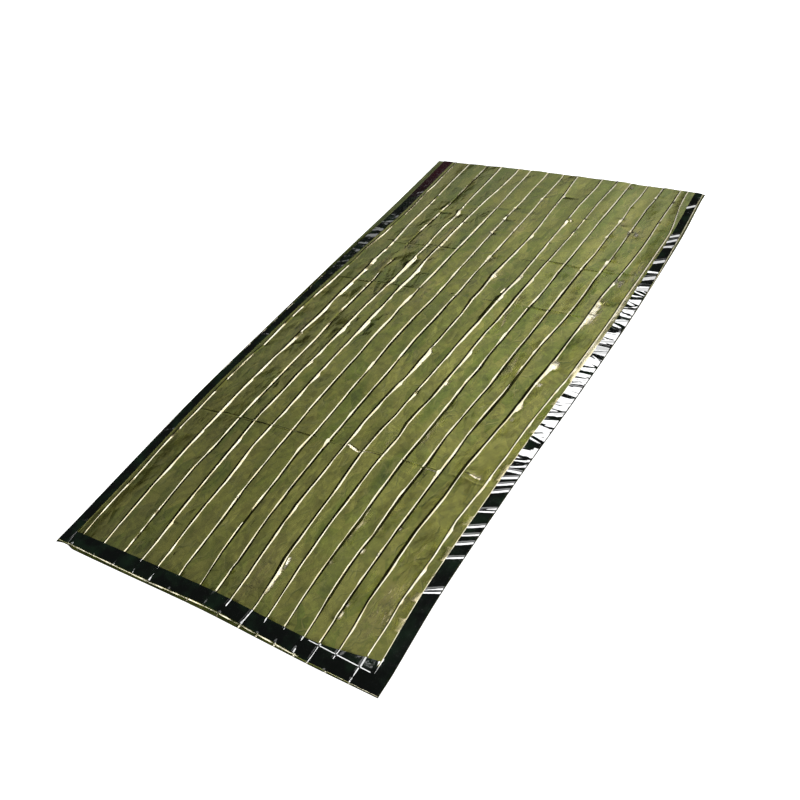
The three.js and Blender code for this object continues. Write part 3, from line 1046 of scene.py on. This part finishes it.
class Graph:
    """The nodes of a material or a world, with short ways to add and join them."""

    def __init__(self, owner):
        owner.use_nodes = True
        self.nodes = owner.node_tree.nodes
        self.links = owner.node_tree.links
        self.nodes.clear()

    def add(self, kind, inputs=None, **settings):
        """A node with its settings, and with a value or a link for each input that is given."""
        node = self.nodes.new(f"ShaderNode{kind}")
        for key, value in settings.items():
            setattr(node, key, value)
        for key, value in (inputs or {}).items():
            if isinstance(value, bpy.types.NodeSocket):
                self.links.new(value, node.inputs[key])
            else:
                node.inputs[key].default_value = value
        return node

    def surface(self, inputs):
        """Joins a shader with these inputs to the output."""
        shader = self.add("BsdfPrincipled", inputs)
        self.add("OutputMaterial", {"Surface": shader.outputs["BSDF"]})

    def attribute(self, name):
        """A number that a sheet stores."""
        return self.add("Attribute", attribute_name=name).outputs["Fac"]

    def axes(self, vector):
        """The three parts of a vector, by the names of the axes."""
        return self.add("SeparateXYZ", {"Vector": vector}).outputs

    def place(self):
        """Object coordinates."""
        return self.add("TexCoord").outputs["Object"]

    def mapped(self, stretch, turn, shift=0, way="POINT"):
        """Object coordinates that are stretched, turned and then moved along X."""
        inputs = {
            "Vector": self.place(),
            "Location": (shift, 0, 0),
            "Rotation": (0, 0, turn),
            "Scale": stretch,
        }
        return self.add("Mapping", inputs, vector_type=way).outputs["Vector"]

    def noise(self, scale, stretch=(1, 1, 1), detail=2, roughness=0.5, turn=0, output="Fac"):
        """A noise with its own size each way."""
        vector = self.mapped(stretch, turn)
        inputs = {"Vector": vector, "Scale": scale, "Detail": detail, "Roughness": roughness}
        return self.add("TexNoise", inputs).outputs[output]

    def cells(self, scale, stretch, turn, output="Color", way="POINT"):
        """A chance colour for each cell of the film, or the distance to the cell's edge."""
        feature = "F1" if output == "Color" else "DISTANCE_TO_EDGE"
        inputs = {"Vector": self.mapped(stretch, turn, way=way), "Scale": scale}
        return self.add("TexVoronoi", inputs, feature=feature).outputs[output]

    def spread(self, value, low, high, start=0, end=1, interpolation="LINEAR"):
        """A number that goes from low to high while the value goes from start to end."""
        inputs = {"Value": value, "From Min": start, "From Max": end, "To Min": low, "To Max": high}
        return self.add("MapRange", inputs, interpolation_type=interpolation).outputs["Result"]

    def maths(self, operation, first, second):
        """A sum, a product or the larger of two numbers."""
        return self.add("Math", {0: first, 1: second}, operation=operation).outputs["Value"]

    def mix(self, factor, first, second, data_type="RGBA"):
        """A colour, or a number, that passes from the first to the second with the factor."""
        inputs = {"Factor": factor, "A": first, "B": second}
        return self.add("Mix", inputs, data_type=data_type).outputs["Result"]

    def ramp(self, factor, stops):
        """A colour over a factor, from pairs of a place and a colour."""
        node = self.add("ValToRGB", {"Fac": factor})
        elements = node.color_ramp.elements
        for element, (place, colour) in zip(elements, stops[:2]):
            element.position = place
            element.color = opaque(colour)
        for place, colour in stops[2:]:
            elements.new(place).color = opaque(colour)
        return node.outputs["Color"]

    def bump(self, height, strength, distance, normal=None):
        """A normal over a height, on top of another normal if one is given."""
        inputs = {"Strength": strength, "Distance": distance, "Height": height}
        if normal is not None:
            inputs["Normal"] = normal
        return self.add("Bump", inputs).outputs["Normal"]


def lamp_facing_bend_highlight(graph, normal):
    """Share from 0 to 1 by which the film's normal turns to the right or the foot towards the lamps, where
    a beige painted highlight goes.
    """
    at, facing = graph.axes(graph.place()), graph.axes(normal)
    shares = []
    for axis, gain, low, high in HIGHLIGHT_BENDS:
        bend = graph.maths("ADD", facing[axis], graph.maths("MULTIPLY", at[axis], gain))
        shares.append(graph.spread(bend, 0, 1, low, high))
    return graph.maths("MAXIMUM", *shares)


def wrinkle_line(graph, shift):
    """Share from 0 to 1 along the film's fine wrinkles, moved aside by a shift in metres."""
    sway = graph.noise(16, output="Color")
    place = graph.mapped((1, 0.7, 1), 0.35, shift)
    swayed = graph.add("VectorMath", {0: sway, 1: (0.05, 0.05, 0), 2: place}, operation="MULTIPLY_ADD")
    inputs = {"Vector": swayed.outputs["Vector"], "Scale": 26}
    cells = graph.add("TexVoronoi", inputs, feature="DISTANCE_TO_EDGE")
    return graph.spread(cells.outputs["Distance"], 1, 0, 0, 0.07)


def wrinkle_shade_and_highlight(graph, colour, finish):
    """A film colour with fine wrinkles in patches, painted shade on one side and painted highlight on the
    other.
    """
    patches = graph.noise(24, (1, 0.8, 1))
    # Painted shade on one side of each wrinkle and painted highlight on the other
    sides = [(0, finish.film_deep_and_wrinkle_shade, 0.9), (WRINKLE_WIDTH, finish.film_wrinkle_highlight, 0.8)]
    for shift, line_colour, strength in sides:
        patch = graph.spread(patches, -0.6 * strength, strength, *NOISE_MIDDLE)
        shown = graph.maths("MULTIPLY", wrinkle_line(graph, shift), patch)
        colour = graph.mix(shown, colour, opaque(line_colour))
    return colour


def shard_shade_and_highlight(graph, colour):
    """A colour with painted shade and highlight over small flat shards that lie across each other, as on
    film that was folded small.
    """
    shards = []
    for scale, length, turn, contrast in SHARDS:
        chance = graph.cells(scale, (1, length, 1), turn, way="TEXTURE")
        shards.append(graph.spread(chance, -contrast, contrast))
    first, second, third = shards
    offset = graph.maths("ADD", graph.maths("ADD", first, second), third)
    shown = graph.maths("MULTIPLY", offset, graph.attribute("crinkled"))
    gain = graph.maths("ADD", shown, 1)
    return graph.add("VectorMath", {0: colour, "Scale": gain}, operation="SCALE").outputs["Vector"]


def facet_height(graph):
    """Height over the shallow hipped facets of crumpled film, stronger in patches."""
    heights = []
    for scale, stretch, turn, gain, patch_scale in (BROAD_FACETS, FINE_FACETS):
        hip = graph.cells(scale, stretch, turn, "Distance")
        share = graph.spread(graph.noise(patch_scale), 0.15 * gain, gain, *NOISE_MIDDLE)
        heights.append(graph.maths("MULTIPLY", hip, share))
    return graph.maths("MULTIPLY", graph.maths("ADD", *heights), graph.attribute("faceted"))


def tone_with_facet_shade(graph, crumpled):
    """How pale the film is: clouds and grain, a painted shade and highlight that change from facet to
    facet, and from crinkle to crinkle where it is crumpled.
    """
    clouds, grain = graph.noise(7, (1.6, 0.5, 1), 4), graph.noise(90, (1.2, 0.8, 1))
    mottled = graph.mix(0.2, clouds, grain, "FLOAT")
    tone = graph.mix(0.45, mottled, graph.attribute("facet_tone"), "FLOAT")
    # Painted shade and highlight: each broad facet, and each crinkle where crumpled, is darker or lighter
    # as if lit at its own tilt
    facets = graph.spread(graph.cells(*BROAD_FACETS[:3]), -0.22, 0.22)
    crinkles = graph.spread(graph.cells(*CRINKLES), -0.4, 0.8)
    shown = graph.maths("MULTIPLY", crinkles, crumpled)
    return graph.maths("ADD", tone, graph.maths("ADD", facets, shown))


def film_colour(graph, finish, crumpled, worn, stretched):
    """Olives that drift into each other, browner where crumpled, a beige painted highlight where bent
    towards the lamps and a pale one on folds that face them, and a painted shadow at the cut edge.
    """
    olives = [(0.06, finish.film_deep_and_wrinkle_shade), (0.3, finish.film_dark), (0.7, finish.film_light)]
    colour = shard_shade_and_highlight(graph, graph.ramp(tone_with_facet_shade(graph, crumpled), olives))
    scuffs = graph.spread(graph.noise(42, (1.7, 0.5, 1), 4, 0.6, 0.25), -0.1, 0.9, *NOISE_MIDDLE)
    scuffed = graph.maths("MULTIPLY", scuffs, crumpled)
    colour = graph.mix(scuffed, colour, opaque(finish.film_scuffed))
    colour = wrinkle_shade_and_highlight(graph, colour, finish)
    # Painted highlight: the stretched share turns the film beige where its normal faces the lamps
    colour = graph.mix(stretched, colour, opaque(finish.film_bent_highlight))
    # Painted highlight: folds in the worn share take a pale cream and beige, as if mirroring the lamps
    metal = [(0.36, finish.film_bent_highlight), (0.52, finish.film_highlight_pale)]
    colour = graph.mix(worn, colour, graph.ramp(graph.noise(100, (2, 0.5, 1), 3), metal))
    # The rim share lays a painted shadow of near-black olive on the lower film's cut edge
    return graph.mix(graph.attribute("rim"), colour, opaque(finish.film_edge_shadow))


def film_relief(graph, finish, crumpled, worn):
    """The normal over the film's dents and facets, and the one over its curls and crinkles as well."""
    soft = graph.bump(graph.noise(11, (1, 0.8, 1)), finish.dent, 0.012)
    dented = graph.bump(facet_height(graph), finish.facet, 0.003, soft)
    curls = graph.noise(45, (1.3, 0.7, 1), 3, 0.6)
    curled = graph.maths("MULTIPLY", curls, graph.maths("MAXIMUM", crumpled, worn))
    wavy = graph.bump(curled, 0.25, 0.004, dented)
    crisp = graph.maths("MULTIPLY", graph.cells(*CRINKLES, "Distance"), crumpled)
    return dented, graph.bump(crisp, finish.crinkle, 0.003, wavy)


def film_material(name, finish):
    """Satin metallised film under a thin clear coat."""
    material = bpy.data.materials.new(name)
    graph = Graph(material)
    # worn holds the painted highlight on folds that face the lamps
    crumpled, worn = graph.attribute("crumpled"), graph.attribute("worn")
    dented, folded = film_relief(graph, finish, crumpled, worn)
    # stretched holds the beige painted highlight where the normal faces the lamps
    stretched = lamp_facing_bend_highlight(graph, folded)
    smoothest, roughest = finish.film_roughness - 0.05, finish.film_roughness + 0.06
    cloudy = graph.noise(26, (1.4, 0.6, 1), 3)
    graph.surface({
        "Base Color": film_colour(graph, finish, crumpled, worn, stretched),
        "Metallic": 1,
        "Roughness": graph.spread(cloudy, smoothest, roughest, *NOISE_MIDDLE),
        "Coat Weight": 0.8,
        "Coat IOR": 1.6,
        "Coat Roughness": 0.12,
        "Normal": folded,
        "Coat Normal": dented,
    })
    return material


def seal_tape_material(finish):
    """Black-green tape with a mirror gloss."""
    material = bpy.data.materials.new("mirror_black_tape")
    graph = Graph(material)
    clouds = [(0.46, finish.tape_colour), (0.72, finish.tape_cloud)]
    colour = graph.ramp(graph.noise(20, detail=4), clouds)
    at = graph.axes(graph.place())
    ends = [graph.spread(at[axis], 0, 1, start, full) for axis, start, full in TINTED_END]
    tinted = graph.maths("MULTIPLY", *ends)
    soft = graph.bump(graph.noise(45, detail=3), 0.06, 0.004)
    graph.surface({
        "Base Color": graph.mix(tinted, colour, opaque(finish.tape_tint)),
        "Roughness": graph.spread(graph.noise(60, detail=3), 0.03, 0.09, *NOISE_MIDDLE),
        "IOR": 3,
        "Coat Weight": 1,
        "Coat IOR": 3,
        "Coat Roughness": 0.05,
        "Normal": soft,
        "Coat Normal": soft,
    })
    return material


def floor_material():
    """Plain pale studio floor."""
    material = bpy.data.materials.new("studio_floor")
    graph = Graph(material)
    greys = [(0.3, (0.9, 0.9, 0.9)), (0.7, (0.93, 0.93, 0.93))]
    graph.surface({
        "Base Color": graph.ramp(graph.noise(3), greys),
        "Roughness": 0.9,
        "Specular IOR Level": 0.1,
        "Emission Color": (1, 1, 1, 1),
        "Emission Strength": 0.9,
    })
    return material


# Studio

FLOOR_SIZE = 16
FLOOR_DROP = 0.0004
LAMP_HEIGHT = 3.0
SENSOR_WIDTH = 36
VIEW_REACH = 100

# Softboxes over the bag: name, X and Y of the centre, size, and the setting with the brightness
SOFTBOXES = [
    ("overhead_softbox", (1.5, 1.4), (2.6, 4.2), "overhead"),
    ("head_softbox", (1.5, 4.7), (2.6, 2.4), "head_light"),
    ("tape_lamp", (-0.06, 1.4), (0.48, 4.2), "tape_light"),
]
GLINT_CENTRE = (-2.7, -1.9)
GLINT_SIZE = (3.4, 1.6)

# Dim panels that the film mirrors: the rows with Y of their ends, and the columns, brighter to the right
PANEL_ROWS = [
    ("near_panel", 0.02, 2.0),
    ("middle_panel", 2.0, 3.6),
    ("far_panel", 3.6, 6.8),
]
PANEL_LEFT = -3.92
PANEL_WIDTH = 0.604
PANEL_SHARES = [0.92, 0.88, 0.8, 1.06, 1.52]

# The world's brightness in reflections, in its dark wedge and to the camera, and where the wedge is
WORLD_FILL = 0.25
WORLD_DARK = 0.01
WORLD_SEEN = 1
DARK_BEARING = math.radians(143)
DARK_SPREAD = math.radians(75)
DARK_CORE = 0.6


def add_softbox(name, centre, size, radiance):
    """A rectangular light that faces the floor."""
    deselect_all()
    bpy.ops.object.light_add(type="AREA", location=(*centre, LAMP_HEIGHT))
    lamp = bpy.context.object
    lamp.name = name
    lamp.data.shape = "RECTANGLE"
    lamp.data.size = size[0]
    lamp.data.size_y = size[1]
    lamp.data.energy = radiance * 4 * size[0] * size[1]


def set_world():
    """A world pale where the camera sees it, and dim in reflections but for a dark wedge at one bearing."""
    world = bpy.data.worlds.new("studio_world")
    graph = Graph(world)
    way = graph.add("TexCoord").outputs["Generated"]
    flat = graph.add("VectorMath", {0: way, 1: (1, 1, 0)}, operation="MULTIPLY").outputs["Vector"]
    level = graph.add("VectorMath", {0: flat}, operation="NORMALIZE").outputs["Vector"]
    wedge = (math.cos(DARK_BEARING), math.sin(DARK_BEARING), 0)
    facing = graph.add("VectorMath", {0: level, 1: wedge}, operation="DOT_PRODUCT").outputs["Value"]
    core, rim = math.cos(DARK_CORE * DARK_SPREAD), math.cos(DARK_SPREAD)
    glow = graph.spread(facing, WORLD_DARK, WORLD_FILL, core, rim, "SMOOTHSTEP")
    dim = graph.add("Background", {"Strength": glow}).outputs["Background"]
    pale = graph.add("Background", {"Strength": WORLD_SEEN}).outputs["Background"]
    seen = graph.add("LightPath").outputs["Is Camera Ray"]
    mixed = graph.add("MixShader", {"Fac": seen, 1: dim, 2: pale})
    graph.add("OutputWorld", {"Surface": mixed.outputs["Shader"]})
    bpy.context.scene.world = world


def build_stage(studio):
    """Floor, lights, world and the camera at the photograph's angle."""
    deselect_all()
    bpy.ops.mesh.primitive_plane_add(size=FLOOR_SIZE, location=(0, 0, -FLOOR_DROP))
    floor = bpy.context.object
    floor.name = "studio_floor"
    floor.data.materials.append(floor_material())
    set_world()
    for name, centre, size, setting in SOFTBOXES:
        add_softbox(name, centre, size, getattr(studio, setting))
    for name, start, end in PANEL_ROWS:
        for column, share in enumerate(PANEL_SHARES):
            centre = (PANEL_LEFT + PANEL_WIDTH * (column + 0.5), (start + end) / 2)
            size = (PANEL_WIDTH, end - start)
            add_softbox(f"{name}_{column}", centre, size, share * getattr(studio, name))
    add_softbox("glint_lamp", GLINT_CENTRE, GLINT_SIZE, studio.glint)
    bpy.ops.object.camera_add()
    camera = bpy.context.object
    camera.name = "photo_camera"
    camera.data.lens = studio.lens
    camera.data.sensor_width = SENSOR_WIDTH
    camera.data.clip_end = VIEW_REACH
    eye = Vector(studio.eye)
    look = (Vector(studio.target) - eye).to_track_quat("-Z", "Y").to_matrix().to_4x4()
    camera.matrix_world = Matrix.Translation(eye) @ look @ Matrix.Rotation(studio.roll, 4, "Z")
    scene = bpy.context.scene
    scene.camera = camera
    scene.view_settings.view_transform = "Standard"
    scene.view_settings.look = "None"


# Settings

def length_prop(name, description, default, low, high):
    """A setting in metres."""
    return FloatProperty(
        name=name, description=description, default=default, min=low, max=high, unit="LENGTH", precision=4,
    )


def slope_prop(name, description, degrees):
    """A setting of a flank's slope."""
    return FloatProperty(
        name=name, description=description, default=math.radians(degrees), min=0, max=1.2, subtype="ANGLE",
    )


def factor_prop(name, description, default, low=0):
    """A setting between its low value and 1."""
    return FloatProperty(
        name=name, description=description, default=default, min=low, max=1, subtype="FACTOR",
    )


def colour_prop(name, description, *default):
    """A setting with a colour."""
    return FloatVectorProperty(
        name=name, description=description, default=default, min=0, max=1, subtype="COLOR",
    )


def point_prop(name, description, *default):
    """A setting with a place in metres."""
    return FloatVectorProperty(
        name=name, description=description, default=default, subtype="TRANSLATION", unit="LENGTH",
    )


def light_prop(name, description, default):
    """A setting with the brightness of a lamp."""
    return FloatProperty(name=name, description=description, default=default, min=0)


class SleepingBagShape(bpy.types.PropertyGroup):
    """How the films and tapes lie."""

    film_thickness: length_prop(
        "Film Thickness", "Thickness that each film is drawn at", 0.0008, 0.0002, 0.001,
    )
    tape_thickness: length_prop(
        "Tape Thickness", "Thickness that each seal tape is drawn at", 0.0008, 0.0002, 0.001,
    )
    loft: length_prop("Loft", "Height of the front film above the back film", 0.0036, 0.002, 0.02)
    lit_slope: slope_prop(
        "Lit Slope", "Slope of a crease's right-facing flank in the middle of the bag", 25,
    )
    shaded_slope: slope_prop("Shaded Slope", "Slope of a crease's left-facing flank", 19)
    lit_flank: length_prop("Lit Flank", "Run of a crease's right-facing flank", 0.0028, 0.001, 0.012)
    shaded_flank: length_prop("Shaded Flank", "Run of a crease's left-facing flank", 0.0092, 0.001, 0.015)
    knuckle: length_prop("Knuckle", "Rise of the small puckers where a crease kinks", 0.0012, 0, 0.004)
    crease_kink: length_prop(
        "Crease Kink", "How far a crease strays from its smooth path at a knuckle", 0.0032, 0, 0.008,
    )
    facet_lean: length_prop(
        "Facet Lean", "How unevenly high the creases lie between two cross folds", 0.0007, 0, 0.003,
    )
    belly: length_prop("Belly", "Rise of the film between two creases", 0.0006, 0, 0.004)
    undulation: length_prop(
        "Undulation", "Rise of the soft waves of the film between its creases", 0.002, 0, 0.004,
    )
    crumple: length_prop("Crumple", "Rise of the small folds in crumpled places", 0.0004, 0, 0.004)
    row_step: length_prop("Row Step", "Spacing of the front film's rows of faces", 0.0064, 0.005, 0.05)
    seed: IntProperty(
        name="Seed", description="Chooses the chance kinks, knuckles and pleats", default=5, min=0,
    )


class SleepingBagFinish(bpy.types.PropertyGroup):
    """Colours and gloss of the films and tapes."""

    film_dark: colour_prop("Film, Greener", "Greener olive of the metallised film", 0.272, 0.335, 0.046)
    # Deepest olive of the film, also the painted shade on the dark side of its fine wrinkles
    film_deep_and_wrinkle_shade: colour_prop("Film, Deeper", "Deepest olive of the metallised film", 0.15, 0.2, 0.03)
    film_light: colour_prop("Film, Paler", "Paler olive of the metallised film", 0.45, 0.445, 0.09)
    # Painted highlight on the pale side of the film's fine wrinkles
    film_wrinkle_highlight: colour_prop("Film, Ridged", "Pale olive of the film's fine wrinkles", 0.55, 0.53, 0.15)
    film_scuffed: colour_prop(
        "Film, Scuffed", "Brown olive of the film where it is crumpled", 0.49, 0.425, 0.15,
    )
    # Painted highlight: beige laid where the film's normal faces the lamps
    film_bent_highlight: colour_prop("Film, Bent", "Beige of the film where it is bent over", 0.6, 0.525, 0.31)
    # Painted highlight: the pale cream laid on folds that face the lamps
    film_highlight_pale: colour_prop(
        "Film, Worn", "Pale metal that shows where a pack crease has worn the film", 0.66, 0.62, 0.46,
    )
    # Painted shadow on the lower film's cut edge
    film_edge_shadow: colour_prop("Film, Rim", "Shaded olive of the lower film's cut edge", 0.03, 0.034, 0.01)
    film_roughness: factor_prop("Film Roughness", "Mean roughness of the film", 0.22, 0.1)
    dent: factor_prop("Dent", "Strength of the film's broad dents", 0.05)
    facet: factor_prop("Facet", "Strength of the film's shallow facets", 0.8)
    crinkle: factor_prop("Crinkle", "Strength of the crinkles in crumpled places", 0.15)
    tape_colour: colour_prop("Tape", "Black-green of the seal tapes", 0.003, 0.006, 0.004)
    tape_tint: colour_prop("Tape, Tinted", "Maroon of the left tape's head end", 0.05, 0.01, 0.017)
    tape_cloud: colour_prop(
        "Tape, Cloudy", "Dark green of the seal tapes' cloudy places", 0.012, 0.036, 0.016,
    )


class SleepingBagStudio(bpy.types.PropertyGroup):
    """Camera and lights."""

    eye: point_prop("Eye", "Where the camera stands", 1.3673, -1.6173, 1.6999)
    target: point_prop("Target", "Where the camera looks", 0.0722, -0.2029, 0)
    roll: FloatProperty(
        name="Roll", description="How far the camera leans", default=math.radians(-15.2), subtype="ANGLE",
    )
    lens: FloatProperty(
        name="Lens", description="Focal length of the camera", default=41.53, min=10,
        subtype="DISTANCE_CAMERA",
    )
    overhead: light_prop("Overhead Light", "Brightness of the large softbox", 1.22)
    head_light: light_prop("Head Light", "Brightness of the softbox that the head's creases mirror", 0.85)
    tape_light: light_prop("Tape Light", "Brightness of the strip lamp that the right tape mirrors", 2.3)
    glint: light_prop("Glint Light", "Brightness of the small lamp over the foot", 2)
    near_panel: light_prop("Near Panels", "Brightness of the panels that the foot mirrors", 0.228)
    middle_panel: light_prop("Middle Panels", "Brightness of the panels that the middle mirrors", 0.32)
    far_panel: light_prop("Far Panels", "Brightness of the panels that the head mirrors", 0.38)


# Operators and panel

class SLEEPINGBAG_OT_back_film(bpy.types.Operator):
    """Build the lower film, flat on the ground"""

    bl_idname = "sleeping_bag.back_film"
    bl_label = "Back Film"
    bl_options = {"REGISTER", "UNDO"}

    def execute(self, context):
        build_back_panel(context.scene.sleeping_bag_shape, context.scene.sleeping_bag_finish)
        return {"FINISHED"}


class SLEEPINGBAG_OT_front_film(bpy.types.Operator):
    """Build the upper film with its pack creases"""

    bl_idname = "sleeping_bag.front_film"
    bl_label = "Front Film"
    bl_options = {"REGISTER", "UNDO"}

    def execute(self, context):
        build_front_panel(context.scene.sleeping_bag_shape, context.scene.sleeping_bag_finish)
        return {"FINISHED"}


class SLEEPINGBAG_OT_seal_tapes(bpy.types.Operator):
    """Build the three tapes that seal the foot and the long sides"""

    bl_idname = "sleeping_bag.seal_tapes"
    bl_label = "Seal Tapes"
    bl_options = {"REGISTER", "UNDO"}

    def execute(self, context):
        shape = context.scene.sleeping_bag_shape
        material = seal_tape_material(context.scene.sleeping_bag_finish)
        build_foot_tape(shape, material)
        build_left_tape(shape, material)
        build_right_tape(shape, material)
        return {"FINISHED"}


class SLEEPINGBAG_OT_stage(bpy.types.Operator):
    """Build the floor, the lights and the camera"""

    bl_idname = "sleeping_bag.stage"
    bl_label = "Stage"
    bl_options = {"REGISTER", "UNDO"}

    def execute(self, context):
        build_stage(context.scene.sleeping_bag_studio)
        return {"FINISHED"}


class SLEEPINGBAG_PT_panel(bpy.types.Panel):
    """Lists the sleeping bag's operators and settings"""

    bl_idname = "SLEEPINGBAG_PT_panel"
    bl_label = "Sleeping Bag"
    bl_space_type = "VIEW_3D"
    bl_region_type = "UI"
    bl_category = "Sleeping Bag"

    def draw(self, context):
        layout = self.layout
        for operator in PIECE_OPERATORS:
            layout.operator(operator.bl_idname)
        for name in SETTINGS:
            settings = getattr(context.scene, name)
            column = layout.column()
            for key in settings.bl_rna.properties.keys():
                if key not in {"rna_type", "name"}:
                    column.prop(settings, key)


PIECE_OPERATORS = (
    SLEEPINGBAG_OT_stage,
    SLEEPINGBAG_OT_back_film,
    SLEEPINGBAG_OT_front_film,
    SLEEPINGBAG_OT_seal_tapes,
)
SETTINGS = {
    "sleeping_bag_shape": SleepingBagShape,
    "sleeping_bag_finish": SleepingBagFinish,
    "sleeping_bag_studio": SleepingBagStudio,
}
CLASSES = (*SETTINGS.values(), *PIECE_OPERATORS, SLEEPINGBAG_PT_panel)


def register():
    for cls in CLASSES:
        bpy.utils.register_class(cls)
    for name, group in SETTINGS.items():
        setattr(bpy.types.Scene, name, PointerProperty(type=group))


def unregister():
    for name in SETTINGS:
        delattr(bpy.types.Scene, name)
    for cls in reversed(CLASSES):
        bpy.utils.unregister_class(cls)


def main():
    register()
    bpy.ops.sleeping_bag.stage()
    bpy.ops.sleeping_bag.back_film()
    bpy.ops.sleeping_bag.front_film()
    bpy.ops.sleeping_bag.seal_tapes()


if __name__ == "__main__":
    main()
